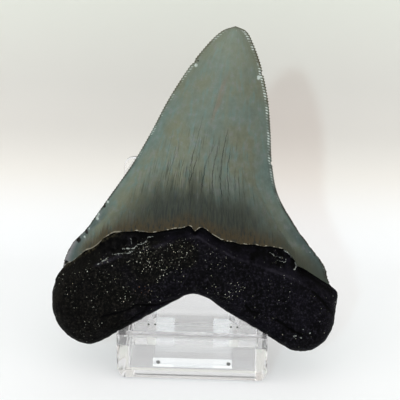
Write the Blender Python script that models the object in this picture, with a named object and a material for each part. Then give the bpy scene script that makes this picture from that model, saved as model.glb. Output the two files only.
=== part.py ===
"""A fossil megalodon tooth leaning upright on a small clear acrylic stand.

Everything is in metres, +Z up, with the origin in the middle of the stand's underside. The tooth
faces -Y with its tongue side, and leans back towards +Y. The pieces are:
  tooth             one solid: crown with a serrated cutting edge, enamel ledge, root with two lobes
  stand_base        open tray with a raised bar that backs the plate
  stand_back_plate  upright plate that the tooth's back leans on
  stand_rest        bent strip with two tines, whose ribs carry the arch of the root
"""
import math

import bmesh
import bpy
import numpy as np
from mathutils import Vector, noise

MM = 0.001

# ---------------------------------------------------------------------------------------------
# Tooth: its outline on its own plane, in millimetres. The first number runs to the right from the
# stand's middle, the second up the slant from the level of the lobes' undersides.
TIP = (11.7, 102.8)
LEFT_SHOULDER = (-42.0, 24.3)
RIGHT_SHOULDER = (43.1, 21.5)
LEFT_LOBE_FOOT = (-33.8, 0.3)
RIGHT_LOBE_FOOT = (34.4, -0.3)
LEFT_CUTTING_EDGE = (
    TIP, (7.3, 101.1), (2.9, 96.9), (-2.7, 89.6), (-9.0, 79.4), (-14.2, 69.2), (-20.0, 58.9),
    (-27.1, 48.5), (-34.3, 38.0), (-39.0, 32.8), (-41.5, 27.4), LEFT_SHOULDER)
RIGHT_CUTTING_EDGE = (
    TIP, (15.3, 101.1), (17.5, 97.2), (20.1, 90.0), (22.3, 80.1), (23.3, 70.1), (24.0, 59.9),
    (26.2, 49.8), (32.2, 39.6), (37.0, 33.2), (41.3, 27.3), RIGHT_SHOULDER)
LEFT_LOBE_SIDE = (
    LEFT_SHOULDER, (-43.9, 22.0), (-45.2, 16.7), (-45.1, 11.4), (-43.2, 6.3), (-40.3, 3.1),
    (-36.9, 1.0), LEFT_LOBE_FOOT)
RIGHT_LOBE_SIDE = (
    RIGHT_SHOULDER, (45.4, 18.8), (45.2, 13.9), (44.5, 8.6), (42.4, 3.9), (39.4, 1.2),
    (37.0, 0.1), RIGHT_LOBE_FOOT)
ROOT_ARCH = (
    LEFT_LOBE_FOOT, (-30.6, 0.9), (-26.2, 3.4), (-15.9, 9.8), (-5.7, 16.0), (-0.6, 18.5),
    (4.5, 17.3), (9.6, 13.5), (20.0, 7.1), (28.2, 1.9), (31.4, 0.2), RIGHT_LOBE_FOOT)
ENAMEL_LINE = (
    LEFT_SHOULDER, (-34.4, 30.6), (-28.4, 35.4), (-22.6, 38.4), (-13.6, 39.0), (-8.9, 40.0),
    (-1.7, 41.7), (0.5, 40.2), (3.2, 41.3), (7.6, 38.2), (12.3, 36.8), (19.2, 36.0),
    (28.3, 33.6), (32.0, 28.4), (36.9, 26.0), RIGHT_SHOULDER)
RIDGE_LINE = (
    (-41.5, 23.2), (-36.0, 25.2), (-29.6, 28.3), (-25.4, 30.1), (-22.1, 31.5), (-14.9, 34.0),
    (-8.0, 36.2), (-1.0, 38.2), (1.2, 38.5), (3.0, 37.7), (5.2, 36.3), (9.5, 33.9), (13.7, 31.7),
    (17.0, 30.7), (21.3, 29.2), (24.4, 27.9), (28.5, 26.4), (33.1, 24.0), (36.7, 21.6),
    (42.0, 18.6))
ROOT_CREASES = (
    ((-28.5, 11.3), (-24.1, 12.5), (-19.4, 14.5), (-17.3, 15.8), (-11.5, 15.8), (-8.0, 17.0),
     (-3.0, 17.9)),
    ((16.6, 16.5), (20.8, 13.9), (26.1, 11.8), (30.7, 8.5), (34.4, 6.9)),
    ((37.3, 20.8), (40.4, 17.9), (44.4, 12.6)))

TOOTH_LEAN = math.radians(15.0)
TOOTH_FRONT_OFFSET = -11.5 * MM      # how far the tooth's plane stands before the stand's middle
TOOTH_LIFT = 8.1 * MM                # how high the lobes' undersides hang over the table

# Thickness of the tooth before and behind its plane, in millimetres.
CROWN_FRONT = 9.3
CROWN_BACK = 4.3
CROWN_SWELL = 0.6                    # how quickly the crown thickens below its tip
CROWN_FLANK = 1.1                    # how hollow its flanks are
BOW_GROWTH = 1.6                     # how late the rungs take up the chevron of the enamel line
ENAMEL_STEP = 0.45                   # how far the enamel stands over the root
ENAMEL_FADE = 8.0                    # how quickly it reaches that thickness from the edges
LOBE_FRONT = 7.4
LOBE_BACK = 5.8
TORUS_FRONT = 13.2                   # the root's swelling over the arch, on the tongue side
TORUS_BACK = 7.4
TORUS_HALF_WIDTH = 20.0
ROOT_ROUNDING = 8.0                  # radius of the root's edges
FRONT_BLEND = (0.0, 0.30)            # depths, 0 at the enamel and 1 at the arch, between which
BACK_BLEND = (0.10, 0.45)            # the crown's section turns into the root's on each face
MIDDLE_BLEND = (0.0, 0.5)            # and its rim moves to the middle of the root's thickness
BAND_GROOVE = 0.7                    # the hollow band between the enamel and the ridge
BAND_ENDS = (43.0, 33.0)             # it fades out between these distances from the middle
BAND_LEAST = 0.5                     # its least height
BAND_SKEW = 0.7                      # it is deepest nearer to the enamel
RIDGE_HEIGHT = 0.6
RIDGE_WIDTH = 1.5
CREASE_CUT = 0.8
CREASE_WIDTH = 1.3
LUMP_HEIGHT = 0.7
LUMP_SIZE = 8.0
LUMP_SEED = 3.0

# Serrations and nicks of the cutting edges, in millimetres.
SERRATION_PITCH = 0.93
SERRATION_DEPTH = 0.42
LEFT_NICKS = ((91.6, 1.6, 0.7), (36.4, 1.0, 0.7), (33.8, 1.2, 0.8))    # height, width, depth
RIGHT_NICKS = ((87.2, 1.5, 0.5), (60.2, 1.0, 0.7), (33.3, 1.6, 0.8))

# The mesh: how many rungs and columns it has, and how they crowd towards its edges.
CROWN_ROWS = 24
CROWN_ROW_GROWTH = 1.15
ROOT_ROWS = 16
ROOT_ROW_CROWDING = 0.65
COLUMNS = 44
COLUMN_CROWDING = 0.75
LEDGE_FOOT = 0.015                   # the depth of the rung at the foot of the enamel's ledge
EDGE_PROBE = 0.002                   # share of an edge over which its direction is taken

# ---------------------------------------------------------------------------------------------
# Stand, in metres.
BASE_WIDTH = 47.6 * MM
BASE_DEPTH = 40.0 * MM
BASE_HEIGHT = 16.6 * MM              # of the front wall
SIDE_HEIGHT = 11.5 * MM              # of the other walls, which the lobes hang over
BASE_WALL = 3.5 * MM
BASE_FLOOR = 3.3 * MM
BASE_FOOT_INSET = 1.4 * MM
BASE_FOOT_HEIGHT = 3.9 * MM
EDGE_BEVEL = 0.4 * MM
GAP = 0.3 * MM                       # play between pieces that touch

PLATE_WIDTH = 46.6 * MM
PLATE_THICKNESS = 2.4 * MM
PLATE_TOP = 63.1 * MM
PLATE_CORNER = 3.0 * MM
PLATE_CORNER_STEPS = 4
PLATE_SET_BACK = 7.8 * MM            # from the tooth's plane to the plate's front face
BAR_HEIGHT = 9.0 * MM
BAR_THICKNESS = 3.2 * MM

REST_WIDTH = 25.2 * MM
REST_THICKNESS = 3.3 * MM
REST_FRONT = -15.8 * MM
REST_BACK = -5.0 * MM
REST_TOP = 14.6 * MM
TINE_GAP = 12.6 * MM
RIB_INNER = 11.5 * MM
RIB_OUTER = 14.5 * MM
RIB_FRONT = -14.5 * MM
RIB_BOTTOM = 11.0 * MM
LEFT_RIB_TOP = (20.2 * MM, 18.5 * MM)    # at its inner and its outer side, under the root's arch
RIGHT_RIB_TOP = (19.9 * MM, 18.1 * MM)

# ---------------------------------------------------------------------------------------------
# Materials.


def principled(name, colour, roughness, transmission=0.0, ior=1.5):
    material = bpy.data.materials.new(name)
    material.use_nodes = True
    shader = material.node_tree.nodes["Principled BSDF"]
    shader.inputs["Base Color"].default_value = (*colour, 1.0)
    shader.inputs["Roughness"].default_value = roughness
    shader.inputs["Metallic"].default_value = 0.0
    shader.inputs["Transmission Weight"].default_value = transmission
    shader.inputs["IOR"].default_value = ior
    material.diffuse_color = (*colour, 1.0)
    return material


def crown_material():
    return principled("grey_green_enamel", (0.20, 0.24, 0.22), 0.35)


def root_material():
    return principled("black_root", (0.012, 0.012, 0.013), 0.55)


def acrylic_material():
    return principled("clear_acrylic", (0.93, 0.96, 0.98), 0.05, transmission=1.0, ior=1.49)


# ---------------------------------------------------------------------------------------------
# Curves and small sums for the tooth, all in millimetres.


def smooth_path(points, samples_per_span=16):
    """A Catmull-Rom curve through the points, as a dense polyline."""
    given = np.array(points, dtype=float)
    ends = np.vstack([2 * given[0] - given[1], given, 2 * given[-1] - given[-2]])
    t = np.linspace(0.0, 1.0, samples_per_span, endpoint=False)[:, None]
    spans = []
    for before, start, stop, after in zip(ends, ends[1:], ends[2:], ends[3:]):
        spans.append(0.5 * (2 * start + (stop - before) * t
                            + (2 * before - 5 * start + 4 * stop - after) * t ** 2
                            + (3 * start - 3 * stop + after - before) * t ** 3))
    return np.vstack(spans + [given[-1:]])


def path_lengths(path):
    steps = np.linalg.norm(np.diff(path, axis=0), axis=1)
    return np.concatenate([[0.0], np.cumsum(steps)])


def along(path, shares):
    """The points at the given shares of a polyline's length."""
    lengths = path_lengths(path)
    places = np.asarray(shares) * lengths[-1]
    return np.stack([np.interp(places, lengths, path[:, 0]),
                     np.interp(places, lengths, path[:, 1])], axis=-1)


def smooth_step(low, high, value):
    t = np.clip((value - low) / (high - low), 0.0, 1.0)
    return t * t * (3.0 - 2.0 * t)


def bell(offset, width):
    return np.exp(-(offset / width) ** 2)


def distance_to(path, points):
    """The distance from each point to the polyline."""
    start = path[:-1]
    span = path[1:] - start
    offset = points[:, None, :] - start[None, :, :]
    share = np.clip((offset * span).sum(2) / (span ** 2).sum(1), 0.0, 1.0)
    return np.linalg.norm(offset - share[..., None] * span, axis=2).min(axis=1)


# ---------------------------------------------------------------------------------------------
# Tooth. Its plane is covered by a ladder of rungs: they are straight at the tip, follow the
# enamel's chevron at its line, and the last one is the arch of the root.


class Ladder:
    """Points on the tooth's plane, from places across and down it."""

    def __init__(self):
        self.left_edge = smooth_path(LEFT_CUTTING_EDGE)
        self.right_edge = smooth_path(RIGHT_CUTTING_EDGE)
        self.left_lobe = smooth_path(LEFT_LOBE_SIDE)
        self.right_lobe = smooth_path(RIGHT_LOBE_SIDE)
        self.arch = smooth_path(ROOT_ARCH)
        self.enamel = smooth_path(ENAMEL_LINE)
        self.ridge = smooth_path(RIDGE_LINE)
        self.creases = [smooth_path(crease) for crease in ROOT_CREASES]
        self.root_outline = np.vstack([self.left_lobe[:-1], self.arch, self.right_lobe[-2::-1]])

    def bow(self, curve, across):
        """How far a rung rises over the straight line between its ends."""
        level = curve[0, 0] + across * (curve[-1, 0] - curve[0, 0])
        chord = curve[0, 1] + across * (curve[-1, 1] - curve[0, 1])
        return np.interp(level, curve[:, 0], curve[:, 1]) - chord

    def crown_point(self, across, down):
        left = along(self.left_edge, down)
        right = along(self.right_edge, down)
        point = left + across[..., None] * (right - left)
        point[..., 1] += down ** BOW_GROWTH * self.bow(self.enamel, across)
        return point

    def root_point(self, across, depth):
        left = along(self.left_lobe, depth)
        right = along(self.right_lobe, depth)
        point = left + across[..., None] * (right - left)
        point[..., 1] += ((1.0 - depth) * self.bow(self.enamel, across)
                          + depth * self.bow(self.arch, across))
        return point


def crown_lens(across, down):
    """The crown's cross-section, 1 in its middle and 0 at its cutting edges."""
    side = np.abs(2.0 * across - 1.0)
    return down ** CROWN_SWELL * (1.0 - side ** 2) ** CROWN_FLANK


def root_swell(x, lobe, torus):
    return lobe + (torus - lobe) * bell(x, TORUS_HALF_WIDTH)


def lumps(points, seed):
    return np.array([noise.noise(Vector((x / LUMP_SIZE, z / LUMP_SIZE, seed))) for x, z in points])


def crown_heights(across, down):
    """Front and back heights of the crown; the enamel's ledge is part of the front."""
    lens = crown_lens(across, down)
    enamel = ENAMEL_STEP * np.minimum(lens * ENAMEL_FADE, 1.0)
    return CROWN_FRONT * lens + enamel, -CROWN_BACK * lens


def band_relief(points, ladder):
    """The hollow band under the enamel, with the ridge along its foot."""
    x, z = points.T
    foot = np.interp(x, ladder.ridge[:, 0], ladder.ridge[:, 1])
    top = np.interp(x, ladder.enamel[:, 0], ladder.enamel[:, 1])
    down = np.clip((top - z) / np.maximum(top - foot, BAND_LEAST), 0.0, 1.0)
    ridge = RIDGE_HEIGHT * bell(z - foot, RIDGE_WIDTH)
    groove = BAND_GROOVE * np.sin(math.pi * down ** BAND_SKEW)
    return smooth_step(*BAND_ENDS, np.abs(x)) * (ridge - groove)


def root_heights(across, depth, points, ladder):
    """Front and back heights of the root, from the crown's at its top to its rounded edges."""
    x = points[:, 0]
    lens = crown_lens(across, np.ones_like(across))
    inward = np.clip(distance_to(ladder.root_outline, points) / ROOT_ROUNDING, 0.0, 1.0)
    rounded = np.sqrt(1.0 - (1.0 - inward) ** 2)
    full_front = root_swell(x, LOBE_FRONT, TORUS_FRONT) + LUMP_HEIGHT * lumps(points, LUMP_SEED)
    for crease in ladder.creases:
        full_front -= CREASE_CUT * bell(distance_to(crease, points), CREASE_WIDTH)
    full_back = -root_swell(x, LOBE_BACK, TORUS_BACK)
    middle = 0.5 * (full_front + full_back) * smooth_step(*MIDDLE_BLEND, depth)
    front = middle + (full_front - middle) * rounded
    back = middle + (full_back - middle) * rounded
    front = CROWN_FRONT * lens + smooth_step(*FRONT_BLEND, depth) * (front - CROWN_FRONT * lens)
    back = -CROWN_BACK * lens + smooth_step(*BACK_BLEND, depth) * (back + CROWN_BACK * lens)
    return front + band_relief(points, ladder) * np.minimum(rounded, lens * 2.0), back


def column_places():
    """Places across a rung, 0 to 1, closest together at its two ends."""
    t = np.linspace(0.0, 1.0, COLUMNS + 1)
    crowded = 0.5 * (1.0 - np.cos(math.pi * t))
    return t + COLUMN_CROWDING * (crowded - t)


def crown_row_places():
    return np.linspace(0.0, 1.0, CROWN_ROWS + 1)[1:] ** CROWN_ROW_GROWTH


def root_row_places():
    """Places down the root: the foot of the enamel's ledge first, then closer towards the arch."""
    t = np.linspace(0.0, 1.0, ROOT_ROWS + 1)[1:]
    crowded = np.sin(0.5 * math.pi * t)
    return np.concatenate([[LEDGE_FOOT], t + ROOT_ROW_CROWDING * (crowded - t)])


def nick_depth(heights, nicks):
    depth = np.zeros_like(heights)
    for height, width, cut in nicks:
        depth += cut * np.clip(1.0 - np.abs(heights - height) / (0.5 * width), 0.0, 1.0)
    return depth


def serrated(path, start, stop, outward, nicks):
    """Points of a cutting edge strictly between two shares of its length, tooth by tooth."""
    lengths = path_lengths(path)
    half_pitch = 0.5 * SERRATION_PITCH
    first = math.floor(start * lengths[-1] / half_pitch) + 1
    last = math.ceil(stop * lengths[-1] / half_pitch) - 1
    counts = np.arange(first, last + 1)
    shares = counts * half_pitch / lengths[-1]
    points = along(path, shares)
    ahead = (along(path, np.minimum(shares + EDGE_PROBE, 1.0))
             - along(path, shares - EDGE_PROBE))
    normal = outward * np.stack([-ahead[:, 1], ahead[:, 0]], axis=1)
    normal /= np.linalg.norm(normal, axis=1)[:, None]
    cut = SERRATION_DEPTH * (counts % 2) + nick_depth(points[:, 1], nicks)
    return shares, points - normal * cut[:, None]


class Shell:
    """Collects the vertices and faces of one closed mesh, in metres."""

    def __init__(self):
        self.mesh = bmesh.new()

    def vertex(self, x, height, z):
        return self.mesh.verts.new((x * MM, -height * MM, z * MM))

    def face(self, corners, flip):
        corners = [v for i, v in enumerate(corners) if v not in corners[:i]]
        if len(corners) > 2:
            self.mesh.faces.new(corners[::-1] if flip else corners)

    def quads(self, rows, flip):
        for upper, lower in zip(rows, rows[1:]):
            for i in range(len(upper) - 1):
                self.face([upper[i], lower[i], lower[i + 1]], flip)
                self.face([upper[i], lower[i + 1], upper[i + 1]], flip)

    def zip(self, rim, inner, flip):
        """Joins two chains of (share, vertex) pairs with triangles."""
        i = j = 0
        while i < len(rim) - 1 or j < len(inner) - 1:
            rim_next = rim[i + 1][0] if i < len(rim) - 1 else math.inf
            inner_next = inner[j + 1][0] if j < len(inner) - 1 else math.inf
            if rim_next <= inner_next:
                self.face([rim[i][1], rim[i + 1][1], inner[j][1]], flip)
                i += 1
            else:
                self.face([rim[i][1], inner[j + 1][1], inner[j][1]], flip)
                j += 1


def sheet_heights(ladder, across, rows):
    """For each rung, its points and its heights before and behind the tooth's plane."""
    result = []
    for kind, place in rows:
        places = np.full_like(across, place)
        if kind == "crown":
            points = ladder.crown_point(across, places)
            front, back = crown_heights(across, places)
        else:
            points = ladder.root_point(across, places)
            front, back = root_heights(across, places, points, ladder)
        result.append((points, front, back))
    return result


def rim_chain(shell, path, nicks, outward, rows, ends):
    """The vertices down one cutting edge and lobe: (order, vertex), with the serrations."""
    chain = [(0.0, ends["tip"])]
    share = 0.0
    for number, (kind, place) in enumerate(rows, start=1):
        if kind == "crown":
            shares, points = serrated(path, share, place, outward, nicks)
            for spot, (x, z) in zip(shares, points):
                order = number - 1 + (spot - share) / (place - share)
                chain.append((order, shell.vertex(x, 0.0, z)))
            share = place
        chain.append((float(number), ends[number]))
    return chain


def build_tooth():
    ladder = Ladder()
    shell = Shell()
    across = column_places()
    rows = [("crown", place) for place in crown_row_places()]
    rows += [("root", place) for place in root_row_places()]
    rungs = sheet_heights(ladder, across, rows)
    tip = shell.vertex(TIP[0], 0.0, TIP[1])
    left_ends = {"tip": tip}
    right_ends = {"tip": tip}
    for number, (points, front, back) in enumerate(rungs, start=1):
        middle = 0.5 * (front + back)
        left_ends[number] = shell.vertex(points[0, 0], middle[0], points[0, 1])
        right_ends[number] = shell.vertex(points[-1, 0], middle[-1], points[-1, 1])
    points, front, back = rungs[-1]
    arch_row = [shell.vertex(x, h, z) for (x, z), h in zip(points[1:-1], front[1:-1])]
    left_rim = rim_chain(shell, ladder.left_edge, LEFT_NICKS, -1.0, rows, left_ends)
    right_rim = rim_chain(shell, ladder.right_edge, RIGHT_NICKS, 1.0, rows, right_ends)
    for side, flip in ((1, False), (2, True)):
        grid = [[shell.vertex(x, h, z) for (x, z), h in zip(rung[0][1:-1], rung[side][1:-1])]
                for rung in rungs[:-1]]
        grid.append(arch_row)
        shell.quads(grid, flip)
        for first, second in zip(grid[0], grid[0][1:]):
            shell.face([tip, first, second], flip)
        shell.zip(left_rim, [(n, row[0]) for n, row in enumerate(grid, start=1)], flip)
        shell.zip(right_rim, [(n, row[-1]) for n, row in enumerate(grid, start=1)], not flip)
    return shell.mesh


def add_tooth():
    shape = build_tooth()
    mesh = bpy.data.meshes.new("tooth")
    mesh.materials.append(crown_material())
    mesh.materials.append(root_material())
    shape.normal_update()
    enamel = smooth_path(ENAMEL_LINE)
    for face in shape.faces:
        centre = face.calc_center_median()
        line = np.interp(centre.x / MM, enamel[:, 0], enamel[:, 1])
        face.material_index = int(centre.z / MM < line)
        face.smooth = True
    shape.to_mesh(mesh)
    shape.free()
    tooth = bpy.data.objects.new("tooth", mesh)
    tooth.location = (0.0, TOOTH_FRONT_OFFSET, TOOTH_LIFT)
    tooth.rotation_euler.x = -TOOTH_LEAN
    bpy.context.collection.objects.link(tooth)
    return tooth


# ---------------------------------------------------------------------------------------------
# Stand.


def stack(shape, rings):
    """Joins rectangular rings, each (half width, half depth, height), and caps both ends."""
    loops = []
    for x, y, z in rings:
        corners = ((-x, -y, z), (x, -y, z), (x, y, z), (-x, y, z))
        loops.append([shape.verts.new(corner) for corner in corners])
    shape.faces.new(loops[0][::-1])
    shape.faces.new(loops[-1])
    for lower, upper in zip(loops, loops[1:]):
        for i in range(4):
            j = (i + 1) % 4
            shape.faces.new([lower[i], lower[j], upper[j], upper[i]])


def round_edges(piece):
    rounding = piece.modifiers.new("rounding", "BEVEL")
    rounding.width = EDGE_BEVEL
    rounding.segments = 1
    rounding.limit_method = "ANGLE"


def add_object(name, shape, material):
    mesh = bpy.data.meshes.new(name)
    bmesh.ops.recalc_face_normals(shape, faces=shape.faces)
    shape.to_mesh(mesh)
    shape.free()
    mesh.materials.append(material)
    piece = bpy.data.objects.new(name, mesh)
    bpy.context.collection.objects.link(piece)
    return piece


def combine(piece, helper, operation):
    """Adds or cuts a helper shape, which is not a piece of its own."""
    helper.hide_render = True
    helper.display_type = "WIRE"
    step = piece.modifiers.new(operation.lower(), "BOOLEAN")
    step.operation = operation
    step.object = helper


def box(shape, low, high):
    """Adds a box between two corners."""
    corners = bmesh.ops.create_cube(shape, size=1.0)["verts"]
    for vertex in corners:
        share = [vertex.co[axis] + 0.5 for axis in range(3)]
        vertex.co = [low[axis] + share[axis] * (high[axis] - low[axis]) for axis in range(3)]


def prism(shape, outline, thickness):
    """Adds a (y, z) outline, extruded along X on both sides of the middle."""
    half = 0.5 * thickness
    near = [shape.verts.new((-half, y, z)) for y, z in outline]
    far = [shape.verts.new((half, y, z)) for y, z in outline]
    shape.faces.new(near)
    shape.faces.new(far[::-1])
    for i in range(len(outline)):
        j = (i + 1) % len(outline)
        shape.faces.new([near[j], near[i], far[i], far[j]])


def plate_front_y(z):
    """Where the plate's front face stands at a height."""
    drop = (z - TOOTH_LIFT) * math.tan(TOOTH_LEAN)
    return TOOTH_FRONT_OFFSET + PLATE_SET_BACK / math.cos(TOOTH_LEAN) + drop


def plate_back_y(z):
    return plate_front_y(z) + PLATE_THICKNESS / math.cos(TOOTH_LEAN)


def add_base():
    """The tray: a foot drawn in at its bottom, a tall front wall, a floor, and the bar."""
    half_width = 0.5 * BASE_WIDTH
    half_depth = 0.5 * BASE_DEPTH
    shape = bmesh.new()
    stack(shape, [
        (half_width - BASE_FOOT_INSET, half_depth - BASE_FOOT_INSET, 0.0),
        (half_width, half_depth, BASE_FOOT_HEIGHT),
        (half_width, half_depth, BASE_HEIGHT),
        (half_width - BASE_WALL, half_depth - BASE_WALL, BASE_HEIGHT),
        (half_width - BASE_WALL, half_depth - BASE_WALL, BASE_FLOOR)])
    base = add_object("stand_base", shape, acrylic_material())
    bar = bmesh.new()
    low = BASE_FLOOR - GAP
    outline = [(plate_back_y(low) + GAP, low), (plate_back_y(BAR_HEIGHT) + GAP, BAR_HEIGHT),
               (plate_back_y(BAR_HEIGHT) + BAR_THICKNESS, BAR_HEIGHT),
               (plate_back_y(BAR_HEIGHT) + BAR_THICKNESS, low)]
    prism(bar, outline, BASE_WIDTH - 2 * BASE_WALL + 2 * GAP)
    cut = bmesh.new()
    box(cut, (-BASE_WIDTH, BASE_WALL - half_depth, SIDE_HEIGHT),
        (BASE_WIDTH, BASE_DEPTH, 2 * BASE_HEIGHT))
    helpers = (("UNION", add_object("bar_shape", bar, acrylic_material())),
               ("DIFFERENCE", add_object("side_cut_shape", cut, acrylic_material())))
    for operation, helper in helpers:
        combine(base, helper, operation)
    round_edges(base)
    return base


def add_back_plate():
    """The leaning plate: a tongue between the tray's walls, and two rounded upper corners."""
    bottom = BASE_FLOOR + GAP
    tongue_half = 0.5 * BASE_WIDTH - BASE_WALL - GAP
    tongue = (SIDE_HEIGHT + GAP - bottom) / math.cos(TOOTH_LEAN)
    length = (PLATE_TOP - bottom) / math.cos(TOOTH_LEAN)
    half = 0.5 * PLATE_WIDTH
    corner = []
    for step in range(PLATE_CORNER_STEPS + 1):
        angle = math.radians(90.0 * step / PLATE_CORNER_STEPS)
        corner.append((half - PLATE_CORNER * (1 - math.cos(angle)),
                       length - PLATE_CORNER * (1 - math.sin(angle))))
    right = [(tongue_half, 0.0), (tongue_half, tongue), (half, tongue)] + corner
    outline = right + [(-x, z) for x, z in reversed(right)]
    shape = bmesh.new()
    near = [shape.verts.new((x, 0.0, z)) for x, z in outline]
    far = [shape.verts.new((x, PLATE_THICKNESS, z)) for x, z in outline]
    shape.faces.new(near)
    shape.faces.new(far[::-1])
    for i in range(len(outline)):
        j = (i + 1) % len(outline)
        shape.faces.new([near[j], near[i], far[i], far[j]])
    plate = add_object("stand_back_plate", shape, acrylic_material())
    round_edges(plate)
    lowest = bottom + PLATE_THICKNESS * math.sin(TOOTH_LEAN)
    plate.location = (0.0, plate_front_y(lowest), lowest)
    plate.rotation_euler.x = -TOOTH_LEAN
    return plate


def add_rib(shape, side, tops):
    """A rib beside a tine, its top sloped like the arch above it."""
    box(shape, (RIB_INNER, RIB_FRONT, RIB_BOTTOM), (RIB_OUTER, REST_BACK, max(tops)))
    for vertex in shape.verts:
        inner = vertex.co.x < 0.5 * (RIB_INNER + RIB_OUTER)
        if vertex.co.z > RIB_BOTTOM + GAP:
            vertex.co.z = tops[0] if inner else tops[1]
        vertex.co.x *= side


def add_rest():
    """The bent strip: a foot and a riser in one outline, slotted into two tines with ribs."""
    foot_low = BASE_FLOOR + GAP
    foot_high = foot_low + REST_THICKNESS
    riser_front = REST_BACK - REST_THICKNESS
    outline = [(REST_FRONT, foot_low), (REST_BACK, foot_low), (REST_BACK, REST_TOP),
               (riser_front, REST_TOP), (riser_front, foot_high), (REST_FRONT, foot_high)]
    strip = bmesh.new()
    prism(strip, outline, REST_WIDTH)
    rest = add_object("stand_rest", strip, acrylic_material())
    slot = bmesh.new()
    box(slot, (-0.5 * TINE_GAP, REST_FRONT, foot_high), (0.5 * TINE_GAP, 0.0, 2 * REST_TOP))
    combine(rest, add_object("slot_shape", slot, acrylic_material()), "DIFFERENCE")
    for name, side, tops in (("left_rib_shape", -1, LEFT_RIB_TOP),
                             ("right_rib_shape", 1, RIGHT_RIB_TOP)):
        rib = bmesh.new()
        add_rib(rib, side, tops)
        combine(rest, add_object(name, rib, acrylic_material()), "UNION")
    return rest


def main():
    for item in list(bpy.data.objects):
        bpy.data.objects.remove(item, do_unlink=True)
    add_tooth()
    add_base()
    add_back_plate()
    add_rest()


main()
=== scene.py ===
"""Looks of a fossil megalodon tooth on a clear acrylic stand, built around its CAD frame.

Run it as a script, or open it in Blender's text editor. The tooth is sculpted from two grids, one
for each face, that follow its cutting edges, its enamel line and the arch of its root. The stand's
pieces are the CAD's own, and each gets an acrylic finish. Lengths on the tooth's own plane are in
millimetres, and everything in the scene is in metres.
"""

import math
from functools import reduce

import bmesh
import bpy
import numpy as np
from bpy.props import FloatProperty, FloatVectorProperty, PointerProperty
from mathutils import Matrix, Vector, noise


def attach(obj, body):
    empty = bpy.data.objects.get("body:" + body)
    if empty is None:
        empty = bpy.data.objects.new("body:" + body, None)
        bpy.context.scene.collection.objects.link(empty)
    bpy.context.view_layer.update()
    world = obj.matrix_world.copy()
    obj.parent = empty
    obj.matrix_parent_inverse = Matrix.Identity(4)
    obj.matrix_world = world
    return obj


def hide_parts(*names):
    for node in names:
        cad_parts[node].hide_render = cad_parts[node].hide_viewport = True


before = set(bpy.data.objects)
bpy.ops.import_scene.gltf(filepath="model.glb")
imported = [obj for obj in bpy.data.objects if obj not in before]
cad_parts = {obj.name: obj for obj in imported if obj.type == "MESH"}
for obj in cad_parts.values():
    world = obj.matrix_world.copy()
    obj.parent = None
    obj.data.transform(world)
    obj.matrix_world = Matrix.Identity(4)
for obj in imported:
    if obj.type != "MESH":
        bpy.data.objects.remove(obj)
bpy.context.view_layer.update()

bl_info = {
    "name": "Fossil tooth on a stand",
    "version": (1, 0, 0),
    "blender": (4, 5, 0),
    "location": "View3D > Sidebar > Fossil",
    "description": "Adds a fossil megalodon tooth, its clear stand and a plain studio",
    "category": "Add Mesh",
}

MM = 0.001


# ------------------------------------------------------------
# Tooth: its outline on its own plane, in millimetres. The first number runs to the right from the
# stand's middle, the second up the slant from the level of the lobes' undersides.
TIP = (11.7, 102.8)
LEFT_SHOULDER = (-42.0, 24.3)
RIGHT_SHOULDER = (43.1, 21.5)
LEFT_LOBE_FOOT = (-33.8, 0.3)
RIGHT_LOBE_FOOT = (34.4, -0.3)
LEFT_CUTTING_EDGE = (
    TIP, (7.3, 101.1), (2.9, 96.9), (-2.7, 89.6), (-9.0, 79.4), (-14.2, 69.2), (-20.0, 58.9),
    (-27.1, 48.5), (-34.3, 38.0), (-39.0, 32.8), (-41.5, 27.4), LEFT_SHOULDER)
RIGHT_CUTTING_EDGE = (
    TIP, (15.3, 101.1), (17.5, 97.2), (20.1, 90.0), (22.3, 80.1), (23.3, 70.1), (24.0, 59.9),
    (26.2, 49.8), (32.2, 39.6), (37.0, 33.2), (41.3, 27.3), RIGHT_SHOULDER)
LEFT_LOBE_SIDE = (
    LEFT_SHOULDER, (-43.9, 22.0), (-45.2, 16.7), (-45.1, 11.4), (-43.2, 6.3), (-40.3, 3.1),
    (-36.9, 1.0), LEFT_LOBE_FOOT)
RIGHT_LOBE_SIDE = (
    RIGHT_SHOULDER, (45.4, 18.8), (45.2, 13.9), (44.5, 8.6), (42.4, 3.9), (39.4, 1.2),
    (37.0, 0.1), RIGHT_LOBE_FOOT)
ROOT_ARCH = (
    LEFT_LOBE_FOOT, (-30.6, 0.9), (-26.2, 3.4), (-15.9, 9.8), (-5.7, 16.0), (-0.6, 18.5),
    (4.5, 17.3), (9.6, 13.5), (20.0, 7.1), (28.2, 1.9), (31.4, 0.2), RIGHT_LOBE_FOOT)
ENAMEL_LINE = (
    LEFT_SHOULDER, (-34.4, 30.6), (-28.4, 35.4), (-22.6, 38.4), (-13.6, 39.0), (-8.9, 40.0),
    (-1.7, 41.7), (0.5, 40.2), (3.2, 41.3), (7.6, 38.2), (12.3, 36.8), (19.2, 36.0),
    (28.3, 33.6), (32.0, 28.4), (36.9, 26.0), RIGHT_SHOULDER)
RIDGE_LINE = (
    (-41.5, 23.2), (-36.0, 25.2), (-29.6, 28.3), (-25.4, 30.1), (-22.1, 31.5), (-14.9, 34.0),
    (-8.0, 36.2), (-1.0, 38.2), (1.2, 38.5), (3.0, 37.7), (5.2, 36.3), (9.5, 33.9), (13.7, 31.7),
    (17.0, 30.7), (21.3, 29.2), (24.4, 27.9), (28.5, 26.4), (33.1, 24.0), (36.7, 21.6),
    (42.0, 18.6))
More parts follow.
